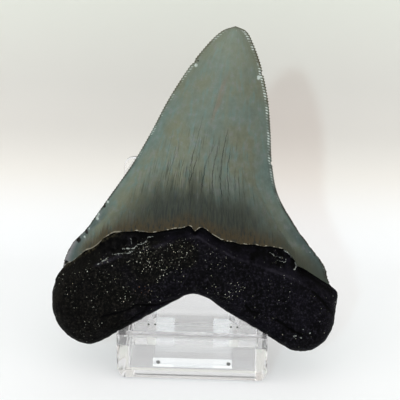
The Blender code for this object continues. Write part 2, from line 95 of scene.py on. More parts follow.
ROOT_CREASES = (
    ((-28.5, 11.3), (-24.1, 12.5), (-19.4, 14.5), (-17.3, 15.8), (-11.5, 15.8), (-8.0, 17.0),
     (-3.0, 17.9)),
    ((-13.6, 15.9), (-15.9, 13.2), (-18.7, 11.1), (-20.2, 9.7)),
    ((16.6, 16.5), (18.7, 14.7), (20.8, 13.9)),
    ((26.1, 11.8), (29.0, 10.0), (30.7, 8.5), (34.4, 6.9)),
    ((33.2, 27.0), (36.6, 24.9), (40.2, 22.1), (43.6, 19.8)),
    ((37.3, 20.8), (40.4, 17.9), (44.4, 12.6)))

# The chipped lower edge of the enamel: on the tongue side with its notch and its hooked flake, and
# on the lip side, where it hangs lower.
CHIPPED_EDGE = (
    LEFT_SHOULDER, (-40.8, 26.1), (-38.3, 27.8), (-36.1, 29.8), (-34.2, 31.5), (-32.0, 32.5),
    (-30.1, 34.1), (-28.3, 36.1), (-25.7, 37.8), (-22.6, 38.7), (-19.2, 39.1), (-17.3, 39.4),
    (-13.6, 39.0), (-11.7, 39.3), (-8.9, 40.0), (-6.1, 40.6), (-3.1, 41.2), (-1.7, 41.7),
    (-0.5, 41.4), (0.5, 40.0), (1.7, 41.0), (3.2, 41.3), (5.1, 39.9), (7.6, 38.2), (10.1, 37.1),
    (12.3, 36.8), (15.5, 35.9), (18.4, 36.0), (21.3, 35.3), (23.7, 35.2), (26.1, 34.6),
    (28.3, 33.9), (29.8, 32.7), (30.9, 31.4), (31.8, 30.0), (32.5, 28.5), (34.1, 27.7),
    (35.9, 26.5), (38.8, 24.4), (41.6, 22.4), RIGHT_SHOULDER)
LIP_SIDE_EDGE = (
    LEFT_SHOULDER, (-36.0, 26.6), (-28.0, 29.6), (-20.0, 32.0), (-11.0, 34.2), (-3.0, 36.0),
    (1.0, 36.4), (6.0, 35.2), (14.0, 32.6), (23.0, 29.8), (31.0, 26.8), (38.0, 24.0),
    RIGHT_SHOULDER)

TOOTH_LEAN = math.radians(15.0)
TOOTH_FRONT_OFFSET = -11.5 * MM      # how far the tooth's plane stands before the stand's middle
TOOTH_LIFT = 8.1 * MM                # how high the lobes' undersides hang over the table

# Thickness of the tooth before and behind its plane, in millimetres.
CROWN_FRONT = 9.3
CROWN_BACK = 4.3
CROWN_SWELL = 0.6                    # how quickly the crown thickens below its tip
CROWN_FLANK = 1.1                    # how hollow its flanks are
BOW_GROWTH = 1.6                     # how late the rungs take up the chevron of the enamel line
LOBE_FRONT = 7.4
LOBE_BACK = 5.8
TORUS_FRONT = 13.2
TORUS_BACK = 7.4
TORUS_HALF_WIDTH = 20.0
ROOT_ROUNDING = 8.0
BAND_GROOVE = 0.7                    # how deep the band between enamel and ridge is hollowed
BAND_ENDS = (43.0, 33.0)             # it fades out between these distances from the middle
RIDGE_HEIGHT = 0.55
RIDGE_WIDTH = 0.9
RIDGE_CREST = 0.3                    # the sharp part of the ridge, as a share of its width
THINNEST_BAND = 0.5
BAND_FOOT = (-0.2, 0.4)              # the band fades in between these heights over the ridge line
BAND_SKEW = 0.7                      # below 1, the band is deepest in its upper part
CREASE_CUT = 0.7
CREASE_WIDTH = 0.8
LIP_SIDE_STEP = 0.7                  # the enamel's thickness there, as a share of the tongue side's

# How steeply relief sets in from the cutting edges, where the crown thins to nothing.
BAND_RISE = 2.0
LEDGE_RISE = 8.0
RELIEF_RISE = 0.3

# The crown's section turns into the root's between these shares of the way down the root, and the
# root's uneven outline sets in.
FRONT_BLEND = (0.0, 0.30)
BACK_BLEND = (0.10, 0.45)
MIDDLE_BLEND = (0.0, 0.5)
RIM_BLEND = (0.0, 0.04)

# The rungs between these places bend to the enamel's chipped edge.
TONGUE_SIDE_BEND = (0.86, 1.35)
LIP_SIDE_BEND = (0.68, 1.75)

# Relief, as (size, height, seed) of each scale of lumps, and the flaked places of the band as
# (x, height, radius).
ROOT_LUMPS = ((8.0, 0.7, 3.0), (3.1, 0.38, 5.0), (1.5, 0.34, 9.0))
BAND_LUMPS = ((3.0, 0.16, 21.0), (1.2, 0.08, 25.0))
FLAKED_LUMPS = ((1.6, 1.1, 41.0), (0.9, 0.6, 45.0))
FLAKED_PLACES = ((-18.6, 34.9, 4.0), (-24.5, 32.4, 3.0), (18.5, 33.0, 2.5), (26.3, 31.2, 3.6))
RIM_LUMPS = ((2.6, 0.22, 51.0), (1.1, 0.16, 55.0))
LEDGE_LUMPS = ((2.4, 0.30, 61.0), (0.9, 0.16, 65.0))
EDGE_WEAR = ((2.2, 0.45, 71.0), (1.2, 0.7, 75.0))
CROWN_WAVES = ((14.0, 0.16, 31.0), (5.0, 0.06, 35.0))
RELIEF_SHADING = 1.6                    # painted highlight and shade: how much raised relief lightens, and pits darken, the root, for their height
PORE_SPACING = 1.4
PORE_DEPTH = 0.4
PORE_RADIUS = 0.32                   # as a share of the spacing
PORE_SEED = 7.0
PORE_VARIETY = 5.3                   # how differently deep neighbouring pores are

# Cuts into the cutting edges: the serrations, the nicks and the wear.
WORN_EDGE = (56.0, 42.0)             # they are worn uneven below these heights
DEEPEST_CUT = 0.9
CUT_REACH = 1.8                      # how far inwards a cut is felt, as a share of its depth
LEAST_CUT_FELT = 0.2
SMOOTH_TIP = 6                       # rungs that are worn smooth at the tip
EDGE_PROBE = 0.004                   # shares over which an edge's and a rung's way are taken
RUNG_PROBE = 0.02

# Damage: nicks as (height, width, depth) on each cutting edge, and scooped chips as
# (x, height, radius, depth, stain) on the tongue side, where a stain below 0 is bare and pale.
LEFT_NICKS = (
    (91.6, 1.6, 0.7), (45.4, 0.9, 0.4), (36.9, 1.4, 0.55), (34.3, 1.4, 0.6), (31.6, 1.2, 0.4),
    (26.5, 1.2, 0.5))
RIGHT_NICKS = (
    (88.3, 1.5, 0.6), (60.2, 1.0, 0.7), (41.0, 0.9, 0.3), (38.4, 0.9, 0.3), (33.8, 1.8, 0.7),
    (31.0, 0.9, 0.4), (28.8, 0.9, 0.4), (25.0, 1.1, 0.4))
CHIPS = (
    (-0.3, 90.6, 0.65, 0.5, -0.7), (0.3, 92.0, 0.4, 0.4, 0.7), (19.2, 87.2, 0.7, 0.6, -0.9),
    (19.9, 88.3, 0.5, 0.4, 0.9), (-34.2, 37.0, 0.6, 0.6, 1.2), (-36.8, 34.4, 0.75, 0.7, 1.5),
    (-40.7, 26.6, 0.8, 0.5, 1.1), (-28.6, 45.4, 0.5, 0.4, 1.1), (-27.6, 46.7, 0.65, 0.3, -0.6),
    (-30.5, 42.8, 0.6, 0.3, -0.5), (-30.8, 41.4, 0.75, 0.3, -0.6), (-33.4, 38.0, 0.5, 0.3, -0.5),
    (-34.7, 35.6, 0.7, 0.3, -0.45), (-41.2, 25.2, 0.5, 0.3, -0.6), (36.4, 32.2, 0.4, 0.3, -0.4),
    (12.1, 101.7, 0.4, 0.2, -0.35), (15.4, 99.8, 0.5, 0.3, -0.40), (17.2, 95.6, 0.35, 0.3, -0.5),
    (18.8, 91.2, 0.35, 0.3, -0.5), (37.9, 31.2, 0.45, 0.4, 0.8), (42.0, 25.3, 0.5, 0.4, 0.8))

# The two grids.
BACK_COLUMNS = 104
FRONT_COLUMNS = 2 * BACK_COLUMNS
ROOT_ROWS = 84
EVEN_COLUMNS = 0.6                   # the share of even spacing; the rest crowds to the edges
EVEN_ROOT_ROWS = 0.45                # the same down the root, where it crowds to the arch
LEDGE_FOOT = 1.008                   # the place of the rung at the foot of the enamel's ledge
MERGE_DISTANCE = 1e-7                # metres within which the two faces' rims are joined
SMOOTH_ANGLE = math.radians(50.0)    # faces that meet at less than this are shaded as one
TINY = 1e-9                          # keeps a length that is divided by from being 0


# ------------------------------------------------------------
# Curves and small sums for the tooth, all in millimetres.


def smooth_path(points, samples_per_span=16):
    """A Catmull-Rom curve through the points, as a dense polyline."""
    given = np.array(points, dtype=float)
    ends = np.vstack([2 * given[0] - given[1], given, 2 * given[-1] - given[-2]])
    t = np.linspace(0.0, 1.0, samples_per_span, endpoint=False)[:, None]
    spans = []
    for before, start, stop, after in zip(ends, ends[1:], ends[2:], ends[3:]):
        spans.append(0.5 * (2 * start + (stop - before) * t
                            + (2 * before - 5 * start + 4 * stop - after) * t ** 2
                            + (3 * start - 3 * stop + after - before) * t ** 3))
    return np.vstack(spans + [given[-1:]])


def along(path, shares):
    """The points at the given shares of a polyline's length."""
    steps = np.linalg.norm(np.diff(path, axis=0), axis=1)
    lengths = np.concatenate([[0.0], np.cumsum(steps)])
    places = np.asarray(shares) * lengths[-1]
    return np.stack([np.interp(places, lengths, path[:, 0]),
                     np.interp(places, lengths, path[:, 1])], axis=-1)


def smooth_step(low, high, value):
    t = np.clip((value - low) / (high - low), 0.0, 1.0)
    return t * t * (3.0 - 2.0 * t)


def unit(vectors):
    """The vectors of an array's rows at length 1."""
    return vectors / np.maximum(np.linalg.norm(vectors, axis=1), TINY)[:, None]


def bell(offset, width):
    return np.exp(-(offset / width) ** 2)


def distance_to(path, x, z):
    """The distance from each point of a grid to the polyline, worked out row by row."""
    start = path[:-1]
    span = path[1:] - start
    rows = []
    for row in np.stack([x, z], axis=-1):
        offset = row[:, None, :] - start[None, :, :]
        share = np.clip((offset * span).sum(2) / (span ** 2).sum(1), 0.0, 1.0)
        rows.append(np.linalg.norm(offset - share[..., None] * span, axis=2).min(axis=1))
    return np.array(rows)


def lumps(x, z, scales):
    """The sum of a few scales of smooth noise over a grid."""
    total = np.zeros(x.size)
    for size, height, seed in scales:
        values = [noise.noise(Vector((a / size, b / size, seed))) for a, b in zip(x.flat, z.flat)]
        total += height * np.array(values)
    return total.reshape(x.shape)


def pores(x, z):
    """Small round pits, deeper in some cells than in others."""
    depth = np.zeros(x.size)
    for i, (a, b) in enumerate(zip(x.flat, z.flat)):
        distances, centres = noise.voronoi(
            Vector((a / PORE_SPACING, b / PORE_SPACING, PORE_SEED)))
        amount = 0.5 + noise.noise(centres[0] * PORE_VARIETY)
        depth[i] = amount * math.exp(-(distances[0] / PORE_RADIUS) ** 2)
    return PORE_DEPTH * depth.reshape(x.shape)


# ------------------------------------------------------------
# Tooth. Its plane is covered by a ladder of rungs, whose places run from 0 at the tip over 1 at
# the enamel line to 2 at the arch of the root.


def bow(curve, across):
    """How far a curve rises over the straight line between its ends."""
    level = curve[0, 0] + across * (curve[-1, 0] - curve[0, 0])
    chord = curve[0, 1] + across * (curve[-1, 1] - curve[0, 1])
    return np.interp(level, curve[:, 0], curve[:, 1]) - chord


class Ladder:
    """Points on the tooth's plane, from places across and down it."""

    def __init__(self):
        self.left_edge = smooth_path(LEFT_CUTTING_EDGE)
        self.right_edge = smooth_path(RIGHT_CUTTING_EDGE)
        self.left_lobe = smooth_path(LEFT_LOBE_SIDE)
        self.right_lobe = smooth_path(RIGHT_LOBE_SIDE)
        self.arch = smooth_path(ROOT_ARCH)
        self.enamel = smooth_path(ENAMEL_LINE)
        self.root_outline = np.vstack([self.left_lobe[:-1], self.arch, self.right_lobe[-2::-1]])

    def ends(self, places):
        """The left and right ends of the rungs."""
        down = np.minimum(places, 1.0)
        depth = np.maximum(places - 1.0, 0.0)
        on_crown = (places <= 1.0)[:, None]
        left = np.where(on_crown, along(self.left_edge, down), along(self.left_lobe, depth))
        right = np.where(on_crown, along(self.right_edge, down), along(self.right_lobe, depth))
        return left, right

    def grid(self, across, places):
        """x and z of every point: a row for each rung, a column for each place across."""
        left, right = self.ends(places)
        depth = np.maximum(places - 1.0, 0.0)[:, None]
        chevron = np.where(places <= 1.0, np.abs(places) ** BOW_GROWTH, 2.0 - places)[:, None]
        x = left[:, :1] + across * (right - left)[:, :1]
        z = left[:, 1:] + across * (right - left)[:, 1:]
        rise = chevron * bow(self.enamel, across) + depth * bow(self.arch, across)
        return x, z + rise


def crown_lens(across, down):
    """The crown's cross-section, 1 in its middle and 0 at its cutting edges."""
    side = np.abs(2.0 * across - 1.0)
    return down ** CROWN_SWELL * (1.0 - side ** 2) ** CROWN_FLANK


def root_swell(x, lobe, torus):
    return lobe + (torus - lobe) * bell(x, TORUS_HALF_WIDTH)


class Sheet:
    """One face of the tooth as arrays, a row for each rung: where it is, and what it is like."""

    def __init__(self, ladder, columns, places, ledge_row, edge_line, is_front):
        t = np.linspace(0.0, 1.0, columns + 1)
        crowded = 0.5 * (1.0 - np.cos(math.pi * t))
        self.across = EVEN_COLUMNS * t + (1.0 - EVEN_COLUMNS) * crowded
        self.places = places
        self.ledge_row = ledge_row
        self.is_front = is_front
        self.x, self.z = ladder.grid(self.across, places)
        self.fit_ledge(smooth_path(edge_line, samples_per_span=4))
        self.measure(ladder)
        self.hollow = np.zeros(self.x.shape)
        self.band = np.zeros(self.x.shape)
        self.height = self.front_height() if is_front else self.back_height()
        self.serrate(ladder)
        self.roughen_rim()

    def fit_ledge(self, edge):
        """Draws the rungs near the enamel line onto its chipped edge."""
        x = self.x[self.ledge_row]
        z = self.z[self.ledge_row]
        ragged = lumps(x[None], 0.0 * x[None], LEDGE_LUMPS)[0]
        ragged *= np.sin(math.pi * self.across) ** 0.5
        shift = np.interp(x, edge[:, 0], edge[:, 1]) + ragged - z
        above, below = TONGUE_SIDE_BEND if self.is_front else LIP_SIDE_BEND
        pull = smooth_step(above, 1.0, self.places) * (1.0 - smooth_step(1.0, below, self.places))
        before = self.z.copy()
        self.z = self.z + pull[:, None] * shift
        self.place = np.empty_like(self.z)
        for column in range(self.z.shape[1]):
            self.place[:, column] = np.interp(
                -self.z[:, column], -before[:, column], self.places)
        self.enamelled = np.arange(len(self.places))[:, None] <= self.ledge_row
        self.below_enamel = self.z[self.ledge_row] - self.z

    def measure(self, ladder):
        """Distances to the outline, which thin and round the tooth towards its edges."""
        wide = np.broadcast_to(self.across, self.x.shape)
        self.lens = crown_lens(wide, np.clip(self.place, 0.0, 1.0))
        self.from_left = np.hypot(self.x - self.x[:, :1], self.z - self.z[:, :1])
        self.from_right = np.hypot(self.x - self.x[:, -1:], self.z - self.z[:, -1:])
        self.rim_distance = np.minimum(self.from_left, self.from_right)
        self.depth = np.clip(self.place - 1.0, 0.0, 1.0)
        first = int(np.argmax(self.place.max(axis=1) > 1.0))
        self.root_distance = np.full(self.x.shape, ROOT_ROUNDING)
        self.root_distance[first:] = distance_to(
            ladder.root_outline, self.x[first:], self.z[first:])
        inward = np.clip(self.root_distance / ROOT_ROUNDING, 0.0, 1.0)
        self.rounded = np.sqrt(1.0 - (1.0 - inward) ** 2)
        self.thin = (1.0 - self.rounded) * (self.depth > 0.0)

    def root_sides(self):
        """Front and back of the whole root, and the middle that its edges round to."""
        root = self.place > 1.0
        relief = np.zeros(self.x.shape)
        relief[root] = lumps(self.x[root], self.z[root], ROOT_LUMPS)
        front = root_swell(self.x, LOBE_FRONT, TORUS_FRONT) + relief
        for crease in ROOT_CREASES:
            path = smooth_path(crease, samples_per_span=8)
            near = distance_to(path, self.x[self.ledge_row:], self.z[self.ledge_row:])
            front[self.ledge_row:] -= CREASE_CUT * bell(near, CREASE_WIDTH)
            # The crease also goes into hollow, which the finishes paint dark: painted shade.
            self.hollow[self.ledge_row:] += bell(near, 0.5 * CREASE_WIDTH)
        back = -root_swell(self.x, LOBE_BACK, TORUS_BACK) - relief
        middle = 0.5 * (front + back) * smooth_step(*MIDDLE_BLEND, self.depth)
        return front, back, middle

    def section(self, crown, root, middle, blend):
        """The crown's section, which turns into the root's rounded one between two depths."""
        share = smooth_step(*blend, self.depth)
        rounded = middle + (root - middle) * self.rounded
        return crown * (1.0 - share) + rounded * share + middle * (1.0 - share) * self.thin

    def ledge(self):
        """How far the enamel stands over what is beneath it."""
        step = bpy.context.scene.fossil_tooth.enamel_step / MM
        return step * np.minimum(self.lens * LEDGE_RISE, 1.0) * self.enamelled

    def front_height(self):
        root, _, middle = self.root_sides()
        height = self.section(CROWN_FRONT * self.lens, root, middle, FRONT_BLEND)
        self.add_band(height)
        below = self.depth > 0.0
        x, z, band = self.x[below], self.z[below], self.band[below]
        flaked = sum(bell(np.hypot(x - left, z - low), radius)
                     for left, low, radius in FLAKED_PLACES) * band
        rough = np.zeros(self.x.shape)
        rough[below] = (lumps(x, z, BAND_LUMPS) * band + lumps(x, z, FLAKED_LUMPS) * flaked
                        - pores(x, z) * (1.0 - band))
        height += rough * self.rounded * self.lens ** RELIEF_RISE
        # Pits go into hollow, and raised relief goes below 0; the finishes paint these as painted
        # shade and painted highlight.
        self.hollow -= RELIEF_SHADING * rough
        height += lumps(self.x, self.z, CROWN_WAVES) * self.lens * (self.depth == 0.0)
        for left, low, radius, cut, stain in CHIPS:
            scoop = bell(np.hypot(self.x - left, self.z - low), radius)
            height -= cut * scoop * np.minimum(self.rim_distance / radius, 1.0)
            self.hollow += stain * scoop
        return height + self.ledge()

    def add_band(self, height):
        """Hollows the band under the enamel and raises the ridge along its foot."""
        below = self.depth > 0.0
        ridge = smooth_path(RIDGE_LINE, samples_per_span=6)
        foot = np.interp(self.x, ridge[:, 0], ridge[:, 1])
        top = self.z[self.ledge_row]
        down = np.clip((top - self.z) / np.maximum(top - foot, THINNEST_BAND), 0.0, 1.0)
        held = np.minimum(self.rounded, self.lens * BAND_RISE) * below
        fade = smooth_step(*BAND_ENDS, np.abs(self.x)) * held
        groove = fade * np.sin(math.pi * down ** BAND_SKEW)
        over = self.z - foot
        crest = 0.5 * (bell(over, RIDGE_WIDTH) + bell(over, RIDGE_CREST * RIDGE_WIDTH))
        crest = crest * fade * below
        self.band = smooth_step(*BAND_FOOT, over) * below
        # Hollow also takes painted shade in the groove and painted highlight on the ridge's crest.
        self.hollow += 0.5 * groove - crest
        height += RIDGE_HEIGHT * crest - BAND_GROOVE * groove

    def roughen_rim(self):
        """Gives the root an uneven outline, the same on both faces, which meet there."""
        near = np.exp(-self.root_distance) * smooth_step(*RIM_BLEND, self.depth)
        shift = lumps(self.x, self.z, RIM_LUMPS)
        across = lumps(self.z, self.x, RIM_LUMPS)
        self.z = self.z + near * shift
        self.x = self.x + near * across
        if self.is_front:
            for values in (self.x, self.z, self.height):
                values[-1, 1::2] = values[-1, 0:-1:2]

    def back_height(self):
        _, root, middle = self.root_sides()
        height = self.section(-CROWN_BACK * self.lens, root, middle, BACK_BLEND)
        below = self.depth > 0.0
        height[below] += pores(self.x[below], self.z[below]) * self.rounded[below]
        return height - LIP_SIDE_STEP * self.ledge()

    def serrate(self, ladder):
        """Cuts the serrations and nicks into both edges; each rung is a point or a gap."""
        depth = bpy.context.scene.fossil_tooth.serration_depth / MM
        rungs = np.arange(len(self.places))
        gaps = (rungs % 2) * (rungs < self.ledge_row) * depth
        gaps *= np.clip(rungs / SMOOTH_TIP - 1.0, 0.0, 1.0)
        ahead_left, ahead_right = ladder.ends(np.minimum(self.places + EDGE_PROBE, 1.0))
        left, right = ladder.ends(np.minimum(self.places, 1.0) - EDGE_PROBE)
        ends = np.array([0.0, RUNG_PROBE, 1.0 - RUNG_PROBE, 1.0])
        inner = np.stack(ladder.grid(ends, self.places), axis=-1)
        sides = (((ahead_left - left) @ [[0, 1], [-1, 0]], inner[:, 1] - inner[:, 0],
                  LEFT_NICKS, self.from_left, 0),
                 ((ahead_right - right) @ [[0, -1], [1, 0]], inner[:, 2] - inner[:, 3],
                  RIGHT_NICKS, self.from_right, -1))
        for turned, rung, nicks, distance, rim in sides:
            cut = gaps.copy()
            for height, width, bite in nicks:
                cut += bite * np.clip(1.0 - np.abs(self.z[:, rim] - height) / (0.5 * width), 0, 1)
            wear = lumps(self.z[None, :, rim], self.x[None, :, rim], EDGE_WEAR)[0]
            cut += np.maximum(wear, 0.0) * smooth_step(*WORN_EDGE, self.z[:, rim])
            cut = np.minimum(cut, DEEPEST_CUT) * (self.places < 1.0)
            inward = unit(turned)
            cut *= np.clip((inward * unit(rung)).sum(axis=1), 0.0, 1.0)
            reach = CUT_REACH * np.maximum(cut, LEAST_CUT_FELT)[:, None]
            share = cut[:, None] * np.exp(-distance / reach)
            self.x = self.x + share * inward[:, :1]
            self.z = self.z + share * inward[:, 1:]

    def world_points(self):
        """The vertices in metres, leaning back on the stand."""
        sine, cosine = math.sin(TOOTH_LEAN), math.cos(TOOTH_LEAN)
        y = TOOTH_FRONT_OFFSET / MM + self.z * sine - self.height * cosine
        z = TOOTH_LIFT / MM + self.z * cosine + self.height * sine
        return np.stack([self.x, y, z], axis=-1).reshape(-1, 3) * MM


# ------------------------------------------------------------
# Shader wiring.


def math_node(operation, reflected=False):
    """A method of Wire that adds a Math node, with the wire second if it is reflected."""
    def method(wire, other=0.0):
        pair = {0: other, 1: wire} if reflected else {0: wire, 1: other}
        return wire.finish.node("ShaderNodeMath", {"operation": operation}, pair)
    return method


class Wire:
    """A socket's value in a material. Sums on wires add Math nodes."""
    __add__ = math_node("ADD")
    __radd__ = math_node("ADD", reflected=True)
    __sub__ = math_node("SUBTRACT")
    __rsub__ = math_node("SUBTRACT", reflected=True)
    __mul__ = math_node("MULTIPLY")
    __rmul__ = math_node("MULTIPLY", reflected=True)
    __pow__ = math_node("POWER")
    __abs__ = math_node("ABSOLUTE")
    largest = math_node("MAXIMUM")
    smallest = math_node("MINIMUM")
    fold = math_node("PINGPONG")

    def __init__(self, finish, socket):
        self.finish = finish
        self.socket = socket

    def step(self, low, high):
        """0 below low and 1 above high, or the other way round if low is the higher."""
        sockets = {"Value": self, "From Min": low, "From Max": high}
        return self.finish.node(
            "ShaderNodeMapRange", {"interpolation_type": "SMOOTHSTEP"}, sockets)


def opaque(colour):
    """A colour as a socket takes it; a wire stays as it is."""
    return colour if isinstance(colour, Wire) else (*colour[:3], 1.0)


class Finish:
    """One material while it is wired up, and the colour that has been laid on its ground."""

    def __init__(self, name, ground=None):
        self.material = bpy.data.materials.new(name)
        self.material.use_nodes = True
        self.tree = self.material.node_tree
        self.shader = self.tree.nodes["Principled BSDF"]
        self.colour = ground

    def node(self, kind, settings=None, sockets=None, output=0):
        """Adds a node: its settings go in first, then the values or wires of its sockets."""
        item = self.tree.nodes.new(kind)
        for name, value in (settings or {}).items():
            setattr(item, name, value)
        for name, value in (sockets or {}).items():
            self.plug(item.inputs[name], value)
        return Wire(self, item.outputs[output])

    def plug(self, socket, value):
        if isinstance(value, Wire):
            self.tree.links.new(value.socket, socket)
        else:
            socket.default_value = value

    def set(self, **sockets):
        """Values or wires for the surface shader, with _ for the spaces in a socket's name."""
        for name, value in sockets.items():
            self.plug(self.shader.inputs[name.replace("_", " ")], value)

    def place(self):
        return self.node("ShaderNodeTexCoord", output="Object")

    def attribute(self, name):
        return self.node("ShaderNodeAttribute", {"attribute_name": name}, output="Fac")

    def axes(self, place, names="XYZ"):
        return [self.node("ShaderNodeSeparateXYZ", sockets={0: place}, output=name)
                for name in names]

    def map(self, name):
        """The two numbers of one of the tooth's UV maps."""
        return self.axes(self.node("ShaderNodeUVMap", {"uv_map": name}), "XY")

    def point(self, x, y, z=0.0):
        return self.node("ShaderNodeCombineXYZ", sockets={0: x, 1: y, 2: z})

    def noise(self, where, scale, detail=3.0, roughness=0.55, distortion=0.0):
        """Noise; on places in metres its scale is in waves to the metre."""
        sockets = {"Vector": where, "Scale": scale, "Detail": detail,
                   "Roughness": roughness, "Distortion": distortion}
        return self.node("ShaderNodeTexNoise", sockets=sockets, output="Fac")

    def cells(self, where, scale, output="Distance"):
        sockets = {"Vector": where, "Scale": scale}
        return self.node("ShaderNodeTexVoronoi", sockets=sockets, output=output)

    def mix(self, share, first, second, blend="MIX"):
        settings = {"data_type": "RGBA", "blend_type": blend}
        sockets = {0: share, 6: opaque(first), 7: opaque(second)}
        return self.node("ShaderNodeMix", settings, sockets, output=2)

    def lay(self, share, colour, blend="MIX"):
        """Lays a colour over what has been laid so far."""
        self.colour = self.mix(share, self.colour, colour, blend)

    def darken(self, tone):
        """Multiplies what has been laid so far by a tone."""
        self.lay(1.0, self.point(tone, tone, tone), "MULTIPLY")

    def bump(self, height, distance):
        return self.node("ShaderNodeBump", sockets={"Height": height, "Distance": distance})

    def blend(self, share, other):
        """Mixes another shader into the surface."""
        main = Wire(self, self.shader.outputs[0])
        both = self.node("ShaderNodeMixShader", sockets={0: share, 1: main, 2: other})
        ending = next(node for node in self.tree.nodes if node.type == "OUTPUT_MATERIAL")
        self.plug(ending.inputs["Surface"], both)


def patch(x, z, left, low, radius, core=0.0):
    """0 outside a round patch, rising inwards to 1 at the share `core` of its area."""
    return ((x - left) ** 2.0 + (z - low) ** 2.0).step(radius ** 2, core * radius ** 2)


# ------------------------------------------------------------
# Finishes of the tooth.

GROWTH_MAP = "growth"                # across the tooth, and down it as on the ladder
PLANE_MAP = "plane"                  # millimetres on the tooth's plane
ENAMEL_RELIEF = 0.07 * MM
ROOT_RELIEF = 0.25 * MM

# Patterns drawn out down the crown, as (fineness across, fineness down, detail, roughness).
CLOUDS = (0.55, 12.0, 4.0, 0.65)
STREAKS = (0.42, 2.2, 4.0, 0.6)
HAIRS = (2.1, 7.0, 3.0, 0.65)

# A reddish streak on the crown: its x at height 0, its slant, and the heights that it fades over.
STREAK_START = -17.8
STREAK_SLANT = 0.31
STREAK_FOOT = (71.0, 78.0)
STREAK_TOP = (91.0, 85.0)

# Dark cracks down the crown: from (across, down) to (across, down), and how dark each is.
CRACKS = (
    ((0.318, 0.574), (0.350, 0.781), 0.5), ((0.393, 0.599), (0.402, 0.731), 0.6),
    ((0.412, 0.400), (0.435, 0.516), 0.5), ((0.435, 0.516), (0.462, 0.770), 0.8),
    ((0.480, 0.580), (0.463, 0.740), 0.8), ((0.482, 0.272), (0.492, 0.420), 0.25),
    ((0.575, 0.500), (0.542, 0.608), 0.5), ((0.542, 0.608), (0.520, 0.790), 0.9),
    ((0.595, 0.500), (0.578, 0.770), 0.8), ((0.642, 0.440), (0.625, 0.760), 0.9),
    ((0.687, 0.520), (0.665, 0.745), 0.8), ((0.733, 0.590), (0.704, 0.720), 0.5),
    ((0.765, 0.650), (0.738, 0.760), 0.4), ((0.365, 0.640), (0.372, 0.790), 0.4),
    ((0.285, 0.640), (0.310, 0.800), 0.3))
CRACK_HALF_WIDTH = 0.0028
CRACK_CORE = 0.3                     # the share of its width that is fully dark
CRACK_FADE = (0.03, 0.05)            # how far a crack fades out past its ends and within its top

# Painted highlights: bright lines where the edges of flakes and cracks in the band, and crystals on
# the right lobe, catch light, as lines on the tooth's plane with their half width, all in
# millimetres. They fade between two multiples of it squared.
LINE_FADE = (2.0, 0.3)
HIGHLIGHT_LINES = (
    (((-12.6, 37.8), (-14.2, 37.3), (-15.0, 35.8), (-17.2, 34.8), (-19.2, 33.7),
      (-22.3, 33.3)), 0.09),
    (((-18.3, 33.4), (-19.7, 32.7), (-21.8, 32.1), (-25.4, 31.5)), 0.06),
    (((-26.8, 30.4), (-28.2, 29.4), (-30.0, 28.3)), 0.08),
    (((-19.8, 36.7), (-19.4, 34.9)), 0.05),
    (((24.0, 33.0), (25.2, 31.9), (27.4, 31.6)), 0.05),
    (((26.3, 30.6), (28.6, 29.8), (29.2, 31.0)), 0.05),
    (((28.3, 33.6), (29.8, 32.4), (30.9, 31.1), (31.8, 29.7), (32.3, 28.3),
      (31.5, 27.7)), 0.14),
    (((32.0, 6.1), (32.6, 6.6)), 0.20), (((34.8, 8.9), (35.1, 8.7)), 0.12),
    (((36.9, 7.7), (37.1, 7.5)), 0.13), (((34.0, 6.1), (34.3, 5.9)), 0.10))

# Painted glints on the root, light off mineral grains painted into its colour: cells to the metre,
# the share that shine, their radius in cells, and how bright they are.
PAINTED_GLINTS = ((2700.0, 0.12, 0.30, 0.9), (1900.0, 0.060, 0.25, 1.6), (1400.0, 0.013, 0.19, 1.8))
GLINT_CORE = 0.6                     # the share of a glint's radius that shines fully

# Round patches of the root, as (x, height, radius): those with more painted glints, and how dense
# these are, the flakes with more painted glints on them, and a rusty spot.
GLINT_PATCHES = (
    (-12.0, 31.0, 10.0, 0.8), (-3.0, 33.5, 6.0, 1.0), (-20.0, 26.0, 12.0, 0.5),
    (-34.0, 22.0, 10.0, 0.2), (11.0, 21.0, 8.0, 0.4), (4.0, 30.0, 9.0, 0.4))
GLINTING_FLAKES = (
    (-15.5, 35.2, 3.0), (-21.0, 32.6, 2.6), (-27.6, 29.6, 2.6), (-32.8, 27.0, 2.4),
    (26.0, 31.4, 3.0))
RUST_PLACE = (-15.6, 20.6, 3.4)
LOBE_TINT_RANGE = (-10.0, -26.0)     # the left lobe turns from purple-black to olive-black


def crack_lines(across, down):
    """How far each point lies in one of the listed cracks, 0 to 1."""
    cracks = []
    for (top, start), (foot, stop), darkness in CRACKS:
        lean = (foot - top) / (stop - start)
        offset = abs(across - ((down - start) * lean + top))
        line = offset.step(CRACK_HALF_WIDTH, CRACK_HALF_WIDTH * CRACK_CORE) * darkness
        line = line * down.step(start - CRACK_FADE[0], start + CRACK_FADE[1])
        cracks.append(line * down.step(stop + CRACK_FADE[0], stop - CRACK_FADE[0]))
    return reduce(Wire.largest, cracks)


def highlight_lines(finish, x, z):
    """How much each point lies on one of the painted highlight lines, 0 to 1."""
    strokes = []
    for line, half_width in HIGHLIGHT_LINES:
        faint, full = (half_width ** 2 * share for share in LINE_FADE)
        for (left, low), (right, high) in zip(line, line[1:]):
            run, rise = right - left, high - low
            share = ((x - left) * run + (z - low) * rise) * (1.0 / (run ** 2 + rise ** 2))
            share = finish.node("ShaderNodeClamp", sockets={0: share})
            offset = (x - left - share * run) ** 2.0 + (z - low - share * rise) ** 2.0
            strokes.append(offset.step(faint, full))
    return reduce(Wire.largest, strokes)


